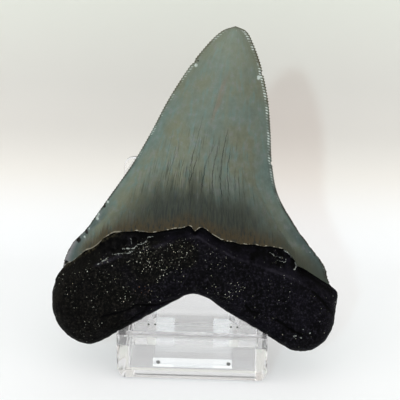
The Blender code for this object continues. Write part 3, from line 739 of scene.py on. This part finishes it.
def enamel_finish(settings, serrations):
    """Grey-green enamel: bluish towards its edges, dark and brown over its lower middle."""
    f = Finish("fossil_enamel", settings.enamel_colour)
    spot = f.place()
    x, z = f.map(PLANE_MAP)
    across, down = f.map(GROWTH_MAP)
    front = f.attribute("front")
    edge = f.attribute("rim_distance")
    under = f.attribute("below_enamel")
    scoops = f.attribute("hollow")
    strand = x * 0.65 + (across - 0.5) * 20.0
    clouds, streaks, hairs = (
        f.noise(f.point(strand * wide, down * long, front), 1.0, detail, roughness)
        for wide, long, detail, roughness in (CLOUDS, STREAKS, HAIRS))
    blotches = f.noise(spot, 75.0, 3.0)
    mottle = f.noise(spot, 480.0, 4.0, 0.7)
    chipping = f.noise(spot, 240.0, 3.0, 0.6)

    # Blotches and streaks of the body, its cooler margins and wings, and its paler tip.
    f.lay(blotches.step(0.38, 0.62), settings.olive_colour)
    f.lay(clouds.step(0.48, 0.66) * 0.7, settings.blue_colour)
    f.lay(streaks.step(0.52, 0.78) * 0.6, settings.olive_colour)
    f.lay(edge.step(9.0, 0.5) * down.step(0.20, 0.50) * 0.65, settings.blue_colour)
    f.lay(down.step(0.70, 0.86) * edge.step(11.0, 4.0) * 0.8, settings.wing_colour)
    f.lay(down.step(0.30, 0.05) * 0.5, settings.tip_colour)
    f.lay(edge.step(4.5, 0.5) * down.step(0.45, 0.25) * 0.55, settings.olive_colour)
    f.lay(mottle.step(0.50, 0.66) * 0.40, settings.lilac_colour)
    shoulder = edge.step(5.0, 1.0) * down.step(0.84, 0.94) * across.step(0.4, 0.2)
    shoulder = shoulder * chipping.step(0.32, 0.46) * 0.9
    f.lay(shoulder, settings.shoulder_colour)
    streak = abs(x - z * STREAK_SLANT - STREAK_START + (clouds - 0.5) * 2.0).step(1.1, 0.2)
    streak = streak * z.step(*STREAK_FOOT) * z.step(*STREAK_TOP)
    f.lay(streak * 0.45, settings.streak_colour)
    # Clouds and mottle vary the tone. Painted shade darkens the right side and middle right, and
    # partly the low crown.
    tone_and_shade = 0.55 + clouds * 0.40 + mottle * 0.50 - across.step(0.45, 0.95) * 0.17
    tone_and_shade = tone_and_shade - down.step(0.30, 0.60) * across.step(0.25, 0.60) * 0.09
    tone_and_shade = tone_and_shade - down.step(0.72, 0.92) * 0.07
    f.darken(tone_and_shade)

    # The dark lower middle, combed into hairs, with a brown stain over the enamel's edge.
    middle = abs(across - 0.51).step(0.44, 0.16)
    ragged = down + (streaks - 0.5) * 0.20 + (hairs - 0.5) * 0.22 + (clouds - 0.5) * 0.10
    shade = ragged.step(0.60, 0.86) * middle
    dark = f.mix(hairs.step(0.40, 0.62), settings.dark_colour, settings.dark_green_colour)
    f.lay(shade * 0.94, dark)
    rust = (down + (streaks - 0.5) * 0.08 + (hairs - 0.5) * 0.10).step(0.90, 0.99)
    rust = rust * edge.step(3.0, 12.0)
    dashes = f.noise(f.point(strand * 1.7, z * 0.45, 4.0), 1.0, 3.0, 0.7)
    stain = f.mix(dashes.step(0.36, 0.52), settings.dark_colour, settings.brown_colour)
    f.lay(rust * 0.85, stain)
    f.lay(under.step(-9.0, -1.0) * across.step(0.74, 0.86) * 0.80, settings.dark_green_colour)

    # Cracks, which waver and break off.
    wobble = (f.noise(f.point(0.0, down * 30.0, across * 9.0), 1.0, 3.0) - 0.5) * 0.014
    wobble = wobble + (f.noise(f.point(strand * 0.3, down * 150.0), 1.0, 2.0) - 0.5) * 0.010
    broken_up = 0.50 + f.noise(f.point(strand, down * 45.0), 1.0, 2.0).step(0.36, 0.58) * 0.50
    cracks = crack_lines(across + wobble, down) * front * broken_up
    combing = hairs.step(0.56, 0.66) * ragged.step(0.40, 0.62) * middle
    lines = cracks.largest(combing * 0.45)
    f.lay(lines, settings.crack_colour)

    # Both edges: dark scoops, darker rims, pale worn points, and the enamel's pale edge with
    # painted highlight.
    crumbled = scoops * (0.2 + f.noise(spot, 1500.0, 2.0) * 1.6)
    f.lay(crumbled.step(0.30, 0.60), settings.band_and_shade_colour)
    beat = (down * float(serrations)).fold(0.5) * 2.0      # 0 on a point and 1 in a gap
    serrated = down.step(0.995, 0.975)
    # A brown rim along both cutting edges, in patches, heavier lower down.
    rim_brown = 0.25 + chipping.step(0.62, 0.42) * (0.40 + down.step(0.55, 0.75) * 0.35)
    f.lay(edge.step(1.5, 0.30) * serrated * rim_brown, settings.brown_colour)
    lower = down.step(0.40, 0.70)
    # A darker rim along the lower edges, heavier on the right and on the points.
    lower_rim_dark = edge.step(2.3, 0.8) * abs(across - 0.5).step(0.30, 0.47) * lower
    lower_rim_dark = lower_rim_dark * serrated * (0.30 + chipping.step(0.60, 0.45) * 0.40)
    lower_rim_dark = lower_rim_dark * (0.60 + beat.step(0.60, 0.30) * 0.40 + across.step(0.4, 0.9) * 0.30)
    f.lay(lower_rim_dark, settings.crack_colour)
    worn = abs(edge - 0.95).step(0.62, 0.22) * beat.step(0.35, 0.70)
    worn = worn * (0.15 + chipping.step(0.47, 0.60) * 0.85) * serrated * (1.0 - lower * 0.8)
    worn = worn * (0.50 + across.step(0.3, 0.7) * 0.50)
    worn = worn.largest(crumbled.step(-0.20, -0.60) * 0.8)
    # The enamel's pale broken edge: partly its bare colour, partly painted highlight where its lip
    # catches light.
    pale_edge_and_highlight = under.step(-0.30, -0.05) * f.noise(spot, 620.0, 3.0, 0.7).step(0.49, 0.60)
    pale = under.step(-0.50, -0.10) * chipping.step(0.44, 0.58) * across.step(0.34, 0.22)
    pale_edge_and_highlight = pale_edge_and_highlight.largest(pale * 0.45)
    pale_edge_and_highlight = pale_edge_and_highlight * edge.step(0.5, 2.5) * across.step(0.88, 0.82)
    f.lay(worn, settings.chip_colour)
    f.lay(pale_edge_and_highlight, settings.broken_edge_and_highlight_colour)

    polish = 0.42 + clouds.step(0.3, 0.7) * 0.14 + lines * 0.3
    grooves = hairs * 0.30 + clouds * 0.3 + mottle * 0.3 - lines * 1.2
    f.set(Base_Color=f.colour, Roughness=polish, Specular_IOR_Level=0.16,
          Normal=f.bump(grooves, ENAMEL_RELIEF))
    return f.material


def root_finish(settings):
    """Black, porous root with painted glints in its pores, painted highlights and painted shade."""
    f = Finish("fossil_root", settings.root_colour)
    spot = f.place()
    x, z = f.map(PLANE_MAP)
    front = f.attribute("front")
    hollow = f.attribute("hollow")
    band = f.attribute("band")
    under = f.attribute("below_enamel")
    soft = f.noise(spot, 150.0, 4.0)
    grit = f.noise(spot, 1100.0, 4.0, 0.7)
    crumbs = f.cells(spot, 1700.0)
    olive = (x + (soft - 0.5) * 30.0).step(*LOBE_TINT_RANGE) * 0.8
    rich = sum(patch(x, z, *place) * dense for *place, dense in GLINT_PATCHES)
    flaked = sum(patch(x, z, *place) for place in GLINTING_FLAKES)
    olive = olive.largest(rich.step(0.2, 0.9) * 0.8)

    # Black body with its tints and dust, painted highlight on lumps and painted shade in hollows.
    f.lay(soft.step(0.35, 0.70), settings.root_pale_colour)
    f.lay(olive, settings.root_olive_colour)
    dust = f.mix(olive, settings.root_dust_and_highlight_colour, settings.root_brown_colour)
    f.lay(grit.step(0.47, 0.64) * (1.0 - band * 0.75), dust)
    f.lay(crumbs.step(0.30, 0.55) * (1.0 - band) * 0.7, settings.band_and_shade_colour)
    f.lay(x.step(-40.0, -46.0) * soft.step(0.35, 0.65) * 0.8, settings.root_brown_colour)
    # Painted highlight: lighter on raised relief and on the ridge's crest.
    f.lay(hollow.step(-0.1, -0.8) * soft.step(0.40, 0.62) * 0.7, settings.root_dust_and_highlight_colour)
    # Painted shade: black in the creases, pores and groove, and a painted shadow under the enamel's
    # edge.
    deep = hollow.step(0.15, 0.7)
    f.lay(deep.largest(under.step(2.2, 0.5)), settings.band_and_shade_colour)
    crumbly = under.step(2.6, 0.2) * x.step(-21.0, -28.0) * grit.step(0.44, 0.60)
    f.lay(crumbly * front * 0.8, settings.crumb_colour)

    # Painted glints: a cell of each scale is painted bright by chance, more in the rich and flaked
    # places.
    glints = 0.0
    flock = 0.15 + f.noise(spot, 130.0, 2.0).step(0.36, 0.64) * 1.5
    stretched = f.node("ShaderNodeVectorMath", {"operation": "MULTIPLY"},
                       {0: spot, 1: (1.0, 1.0, 0.65)})
    for scale, share, radius, shine in PAINTED_GLINTS:
        cell = f.cells(stretched, scale, "Color")
        chance = f.node("ShaderNodeSeparateColor", sockets={0: cell})
        strength = f.node("ShaderNodeSeparateColor", sockets={0: cell}, output=1)
        limit = 1.0 - flock * share * (rich * 2.2 + flaked * 3.0 + 0.40)
        dot = chance.step(limit, limit + 0.01)
        dot = dot * f.cells(stretched, scale).step(radius, radius * GLINT_CORE)
        glints = dot * (0.10 + strength * strength * 0.90) * shine + glints
    plain_band = band * (1.0 - flaked.smallest(1.0))
    glints = glints * (1.0 - plain_band * 0.8) * (1.0 - deep)

    # Painted highlights on flake edges and crystals, which waver and break off.
    sideways = (f.noise(spot, 800.0, 3.0, 0.7) - 0.5) * 1.6
    upwards = (grit - 0.5) * 1.6
    lines = highlight_lines(f, x + sideways, z + upwards) * front
    lines = lines * f.noise(spot, 1700.0, 2.0).step(0.40, 0.60)
    warmth = f.noise(spot, 900.0, 1.0)
    painted_glint_colour = f.mix(warmth.step(0.42, 0.58), settings.painted_glint_colour,
                         settings.painted_pale_glint_colour)
    painted_glint_colour = f.mix(patch(x, z, *RUST_PLACE), painted_glint_colour, settings.rust_colour)
    f.lay(glints.smallest(1.0), painted_glint_colour)
    f.lay(lines * 0.7, settings.highlight_line_colour)
    relief = grit * 0.7 + soft * 0.4 - crumbs * 0.3
    f.set(Base_Color=f.colour, Roughness=0.62 - glints * 0.3, Specular_IOR_Level=0.03,
          Normal=f.bump(relief, ROOT_RELIEF))
    return f.material


# ------------------------------------------------------------
# Finishes of the stand. Each pair says where painted light on the rest begins and where it is
# full, in metres: a glow at the sawn front of its foot, highlights on its tines' tops, a sheen on
# its foot.

FOOT_FRONT = (-15.65 * MM, -15.75 * MM)
FOOT_HEIGHT = (7.5 * MM, 7.2 * MM)
TINE_FOOT = (14.4 * MM, 14.5 * MM)
TINE_TOP = (14.9 * MM, 14.7 * MM)
TINE_SIDE = (11.6 * MM, 11.4 * MM)
TINE_GLEAM = 0.12
SHEEN_HEIGHT = (6.8 * MM, 6.88 * MM)
SHEEN_FRONT = (-12.5 * MM, -11.8 * MM)
SHEEN_SIDE = (12.8 * MM, 12.0 * MM)
SHEEN_GLEAM = 0.30
REFLECTION_DOTS_BACK = (-13.5 * MM, -14.0 * MM)
REFLECTION_DOT_CORE = 0.4                       # the share of a dark dot's area that is fully dark
# Dark dots painted where the black root shows through the rest, a painted reflection: (x, height,
# radius).
ROOT_REFLECTION_DOTS = tuple((x * MM, height * MM, radius * MM) for x, height, radius in (
    (-10.9, 5.3, 0.8), (11.5, 5.3, 0.8), (-14.0, 17.6, 0.4), (-11.9, 17.6, 0.4),
    (12.1, 17.4, 0.4), (14.1, 17.4, 0.4)))
GLOW_GAIN = 1.0 / 0.06               # the painted glow's colour is given for a clarity of 0.94
ACRYLIC_RELIEF = 0.01 * MM


def polish_acrylic(f, settings, clarity, glow_mask):
    """Clear acrylic with a faint haze of handling and a faint painted glow, whiter where glow_mask
    is 1.
    """
    spot = f.place()
    haze = f.noise(spot, 60.0, 3.0)
    swirls = f.noise(spot, 70.0, 2.0, distortion=1.0)
    # Painted glow: emission that brightens the acrylic, whiter on the masked parts.
    veil = f.mix(glow_mask, settings.painted_glow_colour, settings.edge_glow_colour)
    f.set(Base_Color=opaque(settings.tint), Transmission_Weight=clarity, IOR=settings.ior,
          Roughness=0.02 + haze.step(0.45, 0.80) * settings.haze, Emission_Color=veil,
          Emission_Strength=(1.0 - clarity) * GLOW_GAIN, Normal=f.bump(swirls, ACRYLIC_RELIEF))


def acrylic_finish(name, settings, clarity):
    f = Finish(name)
    polish_acrylic(f, settings, clarity, 0.0)
    return f.material


def cut_acrylic_finish(settings):
    """The rest's acrylic: painted glow and highlights on its edges, and dark dots of painted
    reflection.
    """
    f = Finish("cut_acrylic")
    x, y, z = f.axes(f.place())
    # Painted glow at the foot's sawn front, and painted highlights on the tines' tops and the
    # foot's top.
    foot = y.step(*FOOT_FRONT) * z.step(*FOOT_HEIGHT)
    tines = z.step(*TINE_FOOT) * z.step(*TINE_TOP) * abs(x).step(*TINE_SIDE)
    sheen = z.step(*SHEEN_HEIGHT) * y.step(*SHEEN_FRONT) * abs(x).step(*SHEEN_SIDE)
    painted_light_mask = foot.largest(tines * TINE_GLEAM).largest(sheen * SHEEN_GLEAM)
    # Dark dots where the black root shows through: painted reflection.
    root_reflection_dots = sum(patch(x, z, *dot_place, REFLECTION_DOT_CORE) for dot_place in ROOT_REFLECTION_DOTS).smallest(1.0) * y.step(*REFLECTION_DOTS_BACK)
    polish_acrylic(f, settings, settings.clarity, painted_light_mask * (1.0 - root_reflection_dots))
    f.blend(root_reflection_dots, f.node("ShaderNodeBsdfDiffuse", sockets={"Color": opaque(settings.root_reflection_colour)}))
    return f.material


# ------------------------------------------------------------
# The tooth's shape.


def deselect_all():
    if bpy.context.object and bpy.context.object.mode != "OBJECT":
        bpy.ops.object.mode_set(mode="OBJECT")
    bpy.ops.object.select_all(action="DESELECT")


def edit_whole_mesh(operator, **options):
    """Runs an edit mode operator on all of the active mesh."""
    bpy.ops.object.mode_set(mode="EDIT")
    bpy.ops.mesh.select_all(action="SELECT")
    operator(**options)
    bpy.ops.object.mode_set(mode="OBJECT")


def add_sheet(name, sheet, finishes):
    """A grid whose vertices are laid on the sheet's points, with its growth map and values."""
    rows, columns = sheet.x.shape
    deselect_all()
    bpy.ops.mesh.primitive_grid_add(x_subdivisions=columns - 1, y_subdivisions=rows - 1, size=1.0)
    piece = bpy.context.object
    piece.name = name
    mesh = piece.data
    mesh.vertices.foreach_set("co", sheet.world_points().astype(np.float32).ravel())
    corners = np.empty(len(mesh.loops), dtype=np.int32)
    mesh.loops.foreach_get("vertex_index", corners)
    across = np.broadcast_to(sheet.across, sheet.x.shape)
    while mesh.uv_layers:
        mesh.uv_layers.remove(mesh.uv_layers[0])
    for layer, first, second in ((GROWTH_MAP, across, sheet.place), (PLANE_MAP, sheet.x, sheet.z)):
        values = np.stack([first, second], axis=-1).reshape(-1, 2)[corners]
        mesh.uv_layers.new(name=layer).data.foreach_set("uv", values.astype(np.float32).ravel())
    rim = np.where(sheet.place < 1.0, sheet.rim_distance, sheet.root_distance)
    is_front = np.full(sheet.x.shape, float(sheet.is_front))
    for layer, values in (("rim_distance", rim), ("below_enamel", sheet.below_enamel),
                          ("front", is_front), ("hollow", sheet.hollow), ("band", sheet.band)):
        points = mesh.attributes.new(layer, "FLOAT", "POINT").data
        points.foreach_set("value", np.ascontiguousarray(values, dtype=np.float32).ravel())
    for finish in finishes:
        mesh.materials.append(finish)
    first_rows = corners.reshape(-1, 4).min(axis=1) // columns
    mesh.polygons.foreach_set("material_index", (first_rows > sheet.ledge_row).astype(np.int32))
    return piece


def edge_length(points):
    path = smooth_path(points)
    return np.linalg.norm(np.diff(path, axis=0), axis=1).sum()


def build_tooth(settings):
    """Lays both faces of the tooth and joins them along their edges."""
    ladder = Ladder()
    mean_length = 0.5 * (edge_length(LEFT_CUTTING_EDGE) + edge_length(RIGHT_CUTTING_EDGE))
    serrations = round(mean_length * MM / settings.serration_pitch)
    crown = np.linspace(0.0, 1.0, 2 * serrations + 1)
    t = np.linspace(0.0, 1.0, ROOT_ROWS + 1)[1:]
    root = 1.0 + EVEN_ROOT_ROWS * t + (1.0 - EVEN_ROOT_ROWS) * np.sin(0.5 * math.pi * t)
    places = np.concatenate([crown, [LEDGE_FOOT], root])
    ledge_row = len(crown) - 1
    finishes = (enamel_finish(settings, serrations), root_finish(settings))
    front = add_sheet("megalodon_tooth", Sheet(
        ladder, FRONT_COLUMNS, places, ledge_row, CHIPPED_EDGE, True), finishes)
    edit_whole_mesh(bpy.ops.mesh.flip_normals)
    back = add_sheet("back_face", Sheet(
        ladder, BACK_COLUMNS, places, ledge_row, LIP_SIDE_EDGE, False), finishes)
    front.select_set(True)
    back.select_set(True)
    bpy.context.view_layer.objects.active = front
    bpy.ops.object.join()
    edit_whole_mesh(bpy.ops.mesh.remove_doubles, threshold=MERGE_DISTANCE)
    bpy.ops.object.shade_smooth_by_angle(angle=SMOOTH_ANGLE)
    return front


# ------------------------------------------------------------
# Stage, in metres.

FLOOR_DROP = 0.2 * MM                # the air under the stand, so that its underside shows
FLOOR_SIZE = 6.0
BACKDROP_START = 0.055               # where the backdrop begins to sweep up, behind the object
BACKDROP_HALF_WIDTH = 1.5
BACKDROP_LIP = 0.02                  # its flat front strip
BACKDROP_STEPS = 24
WALL_HEIGHT = 1.2
SWEEP_START = (0.0, 0.02)            # heights over which the floor's colour turns to the sweep's,
WALL_START = (0.03, 0.12)            # the sweep's to the wall's,
GLOW_END = (0.0, 0.035)              # and the floor's glow ends
CAMERA_TARGET = Vector((1.5, 0.9, 54.37)) * MM
VIEW_WIDTH = 125.8 * MM              # what the camera sees across at the target
NEAREST_SEEN = 0.01
SENSOR_WIDTH = 36.0                  # of the camera, in its own millimetres
KEY_DIRECTION = Vector((21.5, 100.0, -56.0))     # the way the key light shines


def build_backdrop(settings):
    """A pale sheet that sweeps up behind the object; from behind it is see-through."""
    deselect_all()
    bpy.ops.mesh.primitive_plane_add(size=1.0)
    backdrop = bpy.context.object
    backdrop.name = "backdrop"
    for vertex in backdrop.data.vertices:
        lip = BACKDROP_LIP if vertex.co.y < 0.0 else 0.0
        vertex.co = (math.copysign(BACKDROP_HALF_WIDTH, vertex.co.x), BACKDROP_START - lip,
                     -0.5 * FLOOR_DROP)
    bpy.ops.object.mode_set(mode="EDIT")
    bpy.ops.mesh.select_mode(type="EDGE")
    bpy.ops.mesh.select_all(action="DESELECT")
    shape = bmesh.from_edit_mesh(backdrop.data)
    for edge in shape.edges:
        if all(vertex.co.y > BACKDROP_START - 0.5 * BACKDROP_LIP for vertex in edge.verts):
            edge.select_set(True)
    bmesh.update_edit_mesh(backdrop.data)
    bpy.ops.mesh.spin(steps=BACKDROP_STEPS, angle=-0.5 * math.pi, axis=(1.0, 0.0, 0.0),
                      center=(0.0, BACKDROP_START, settings.sweep_radius))
    bpy.ops.mesh.extrude_region_move(TRANSFORM_OT_translate={"value": (0.0, 0.0, WALL_HEIGHT)})
    bpy.ops.object.mode_set(mode="OBJECT")
    bpy.ops.object.shade_smooth()
    return backdrop


def paint(name, settings):
    """Matt paint that changes up the wall, and that glows at the floor like a light table."""
    f = Finish(name, settings.floor_colour)
    spot = f.place()
    height = f.axes(spot)[2]
    f.lay(height.step(*SWEEP_START), settings.sweep_colour)
    f.lay(height.step(*WALL_START), settings.wall_colour)
    f.darken(1.0 - 0.02 * f.noise(spot, 9.0, 2.0))
    glow = f.mix(height.step(*GLOW_END), settings.glow_colour, (0.0, 0.0, 0.0))
    f.set(Base_Color=f.colour, Roughness=0.8, Specular_IOR_Level=0.2, Emission_Color=glow,
          Emission_Strength=settings.glow_strength)
    return f


def backdrop_paint(settings):
    """The wall's paint, see-through from behind, so that it hides nothing."""
    f = paint("backdrop_paint", settings)
    behind = f.node("ShaderNodeNewGeometry", output="Backfacing")
    f.blend(behind, f.node("ShaderNodeBsdfTransparent"))
    return f


# ------------------------------------------------------------
# Settings, tools and panel.


def colour_property(name, text, value):
    return FloatVectorProperty(name=name, description=text, default=value, size=3,
                               subtype="COLOR", min=0.0, max=1.0)


class FossilToothSettings(bpy.types.PropertyGroup):
    serration_pitch: FloatProperty(
        name="Serration pitch", description="From one point of the cutting edge to the next",
        default=0.93 * MM, unit="LENGTH", precision=5)
    serration_depth: FloatProperty(
        name="Serration depth", description="How deep the gaps between the points are",
        default=0.34 * MM, unit="LENGTH", precision=5)
    enamel_step: FloatProperty(
        name="Enamel thickness", description="How far the enamel stands over the root",
        default=0.45 * MM, unit="LENGTH", precision=5)
    enamel_colour: colour_property(
        "Enamel", "Grey-green body of the crown", (0.112, 0.140, 0.120))
    olive_colour: colour_property(
        "Olive", "Warmer blotches and streaks", (0.128, 0.138, 0.098))
    blue_colour: colour_property("Blue", "Cooler colour near the edges", (0.094, 0.144, 0.136))
    wing_colour: colour_property("Wings", "Both ends of the enamel", (0.046, 0.070, 0.074))
    lilac_colour: colour_property("Lilac", "Fine greyer mottles", (0.136, 0.136, 0.150))
    shoulder_colour: colour_property("Shoulder", "Worn grey near its edge", (0.205, 0.195, 0.212))
    streak_colour: colour_property("Streak", "A reddish streak high up", (0.150, 0.108, 0.080))
    chip_colour: colour_property("Chips", "Bright points on the edges", (0.46, 0.52, 0.51))
    dark_green_colour: colour_property("Dark green", "Hair lines in it", (0.0260, 0.0310, 0.0225))
    tip_colour: colour_property("Tip", "Paler colour of the tip", (0.165, 0.198, 0.168))
    dark_colour: colour_property("Dark", "Lower middle of the crown", (0.0085, 0.0100, 0.0090))
    brown_colour: colour_property("Brown", "Stain above the enamel's edge", (0.036, 0.024, 0.009))
    crack_colour: colour_property("Cracks", "Inside the fine cracks", (0.006, 0.006, 0.005))
    # Also the painted highlight where the enamel's broken lip catches light.
    broken_edge_and_highlight_colour: colour_property("Broken edge", "Chipped enamel", (0.34, 0.32, 0.26))
    root_colour: colour_property("Root", "Black of the root", (0.0008, 0.0007, 0.0014))
    root_pale_colour: colour_property("Root, worn", "Its greyer parts", (0.0045, 0.0040, 0.0075))
    # Root dust, and also the painted highlight on raised relief.
    root_dust_and_highlight_colour: colour_property("Root, dust", "Grains on it", (0.0160, 0.0145, 0.0210))
    root_olive_colour: colour_property("Root, olive", "Left lobe", (0.0022, 0.0022, 0.0016))
    root_brown_colour: colour_property("Root, brown", "Left lobe's side", (0.0150, 0.0135, 0.0095))
    crumb_colour: colour_property("Crumbs", "Under the left shoulder", (0.060, 0.052, 0.032))
    # The band's black, and also the painted shade in hollows and under the enamel's edge.
    band_and_shade_colour: colour_property("Band", "Smooth band under the enamel", (0.0004, 0.0004, 0.0006))
    # Painted glints: light off mineral grains, painted into the root's colour.
    painted_glint_colour: colour_property("Glints", "Mineral in the pores", (0.36, 0.36, 0.27))
    painted_pale_glint_colour: colour_property("Pale glints", "Brighter grains", (0.80, 0.81, 0.74))
    # Painted highlight along the flake edges and crystals.
    highlight_line_colour: colour_property("Flake edges", "Bright cracks in the band", (0.42, 0.45, 0.44))
    rust_colour: colour_property("Rust", "A rusty spot on the left", (0.35, 0.14, 0.06))


class FossilStandSettings(bpy.types.PropertyGroup):
    tint: colour_property("Tint", "Colour of the acrylic", (0.982, 0.982, 0.988))
    ior: FloatProperty(
        name="IOR", description="Index of refraction", default=1.49, min=1.0, max=2.0)
    # What is not clear also sets how strongly the painted glow shines.
    clarity: FloatProperty(name="Clarity", description="The rest is a fine white veil of scuffs",
                           default=0.94, subtype="FACTOR", min=0.0, max=1.0)
    plate_clarity: FloatProperty(name="Plate clarity", description="The back plate is clearer",
                                 default=0.965, subtype="FACTOR", min=0.0, max=1.0)
    haze: FloatProperty(name="Haze", description="Roughness where it was handled", default=0.05,
                        subtype="FACTOR", min=0.0, max=1.0)
    # Painted glow all over the acrylic.
    painted_glow_colour: colour_property("Veil", "Light that its scuffs gather", (0.0105, 0.0100, 0.0110))
    # Painted glow on the rest's sawn edges, tines and foot.
    edge_glow_colour: colour_property("Cut edges", "Light that sawn edges gather", (0.31, 0.34, 0.35))
    # Dark dots painted where the black root shows through the rest.
    root_reflection_colour: colour_property("Pins", "The small pins in the rest", (0.05, 0.06, 0.05))


class FossilStageSettings(bpy.types.PropertyGroup):
    floor_colour: colour_property("Floor", "The table's white", (0.57, 0.585, 0.635))
    glow_colour: colour_property("Glow", "Light that the table gives off", (1.0, 0.985, 0.955))
    glow_strength: FloatProperty(name="Glow", description="How brightly it glows", default=0.31)
    wall_colour: colour_property("Wall", "The wall's white", (0.655, 0.680, 0.635))
    sweep_colour: colour_property("Sweep", "Between table and wall", (0.60, 0.575, 0.562))
    sweep_radius: FloatProperty(
        name="Sweep", description="Radius between floor and wall", default=0.05, unit="LENGTH")
    sky_colour: colour_property("Soft light's colour", "Light from all around", (1.0, 0.955, 0.885))
    key_colour: colour_property("Key light's colour", "Light from front left", (0.66, 0.96, 1.0))
    sky_strength: FloatProperty(
        name="Soft light", description="Light from all around", default=1.36)
    key_strength: FloatProperty(name="Key light", description="Light from front left", default=0.6)
    key_softness: FloatProperty(
        name="Key softness", description="How wide the key light looks",
        default=math.radians(3.0), unit="ROTATION")
    distance: FloatProperty(
        name="Camera distance", description="From the tooth's middle", default=0.52, unit="LENGTH")
    azimuth: FloatProperty(
        name="Camera azimuth", description="To the right of straight ahead",
        default=math.radians(3.0), unit="ROTATION")
    elevation: FloatProperty(
        name="Camera elevation", description="Above the table", default=math.radians(27.0),
        unit="ROTATION")


class FOSSIL_OT_add_tooth(bpy.types.Operator):
    """Adds the tooth, sculpted on both faces"""
    bl_idname = "fossil.add_tooth"
    bl_label = "Tooth"

    def execute(self, context):
        tooth = build_tooth(context.scene.fossil_tooth)
        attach(tooth, "root")
        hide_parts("tooth")
        return {"FINISHED"}


class FOSSIL_OT_add_stand(bpy.types.Operator):
    """Finishes the stand's base, back plate and rest in clear acrylic"""
    bl_idname = "fossil.add_stand"
    bl_label = "Stand"

    def execute(self, context):
        settings = context.scene.fossil_stand
        finishes = {
            "stand_base": acrylic_finish("scuffed_acrylic", settings, settings.clarity),
            "stand_back_plate": acrylic_finish("clear_acrylic", settings, settings.plate_clarity),
            "stand_rest": cut_acrylic_finish(settings)}
        for name, finish in finishes.items():
            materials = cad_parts[name].data.materials
            materials.clear()
            materials.append(finish)
        return {"FINISHED"}


class FOSSIL_OT_set_stage(bpy.types.Operator):
    """Sets the floor, the wall, the lights and the camera"""
    bl_idname = "fossil.set_stage"
    bl_label = "Stage"

    def execute(self, context):
        settings = context.scene.fossil_stage
        deselect_all()
        bpy.ops.mesh.primitive_plane_add(size=FLOOR_SIZE)
        floor = context.object
        floor.name = "floor"
        floor.data.transform(Matrix.Translation((0.0, 0.0, -FLOOR_DROP)))
        floor.data.materials.append(paint("floor_paint", settings).material)
        backdrop = build_backdrop(settings)
        backdrop.data.materials.append(backdrop_paint(settings).material)
        self.add_lights(context, settings)
        self.add_camera(context, settings)
        return {"FINISHED"}

    def add_lights(self, context, settings):
        world = bpy.data.worlds.new("soft_light")
        world.use_nodes = True
        background = world.node_tree.nodes["Background"]
        background.inputs["Color"].default_value = opaque(settings.sky_colour)
        background.inputs["Strength"].default_value = settings.sky_strength
        context.scene.world = world
        bpy.ops.object.light_add(type="SUN")
        key = context.object
        key.name = "key_light"
        key.data.energy = settings.key_strength
        key.data.angle = settings.key_softness
        key.data.color = settings.key_colour
        key.rotation_euler = KEY_DIRECTION.to_track_quat("-Z", "Y").to_euler()

    def add_camera(self, context, settings):
        level = math.cos(settings.elevation)
        back = Vector((math.sin(settings.azimuth) * level, -math.cos(settings.azimuth) * level,
                       math.sin(settings.elevation)))
        bpy.ops.object.camera_add(location=CAMERA_TARGET + back * settings.distance)
        camera = context.object
        camera.name = "camera"
        camera.rotation_euler = (-back).to_track_quat("-Z", "Y").to_euler()
        camera.data.sensor_width = SENSOR_WIDTH
        camera.data.lens = SENSOR_WIDTH * settings.distance / VIEW_WIDTH
        camera.data.clip_start = NEAREST_SEEN
        context.scene.camera = camera
        context.scene.view_settings.view_transform = "Standard"


class FOSSIL_PT_panel(bpy.types.Panel):
    """Lists the pieces and the stage"""
    bl_idname = "FOSSIL_PT_panel"
    bl_label = "Fossil tooth"
    bl_space_type = "VIEW_3D"
    bl_region_type = "UI"
    bl_category = "Fossil"

    def draw(self, context):
        groups = (("fossil.add_tooth", context.scene.fossil_tooth),
                  ("fossil.add_stand", context.scene.fossil_stand),
                  ("fossil.set_stage", context.scene.fossil_stage))
        for tool, settings in groups:
            box = self.layout.box()
            box.operator(tool)
            for name in settings.__annotations__:
                box.prop(settings, name)


CLASSES = (FossilToothSettings, FossilStandSettings, FossilStageSettings,
           FOSSIL_OT_add_tooth, FOSSIL_OT_add_stand, FOSSIL_OT_set_stage, FOSSIL_PT_panel)
SETTINGS = (("fossil_tooth", FossilToothSettings), ("fossil_stand", FossilStandSettings),
            ("fossil_stage", FossilStageSettings))


def register():
    for item in CLASSES:
        bpy.utils.register_class(item)
    for name, group in SETTINGS:
        setattr(bpy.types.Scene, name, PointerProperty(type=group))


def unregister():
    for name, _ in SETTINGS:
        delattr(bpy.types.Scene, name)
    for item in reversed(CLASSES):
        bpy.utils.unregister_class(item)


def main():
    register()
    bpy.ops.fossil.add_tooth()
    bpy.ops.fossil.add_stand()
    bpy.ops.fossil.set_stage()
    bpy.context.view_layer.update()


if __name__ == "__main__":
    main()
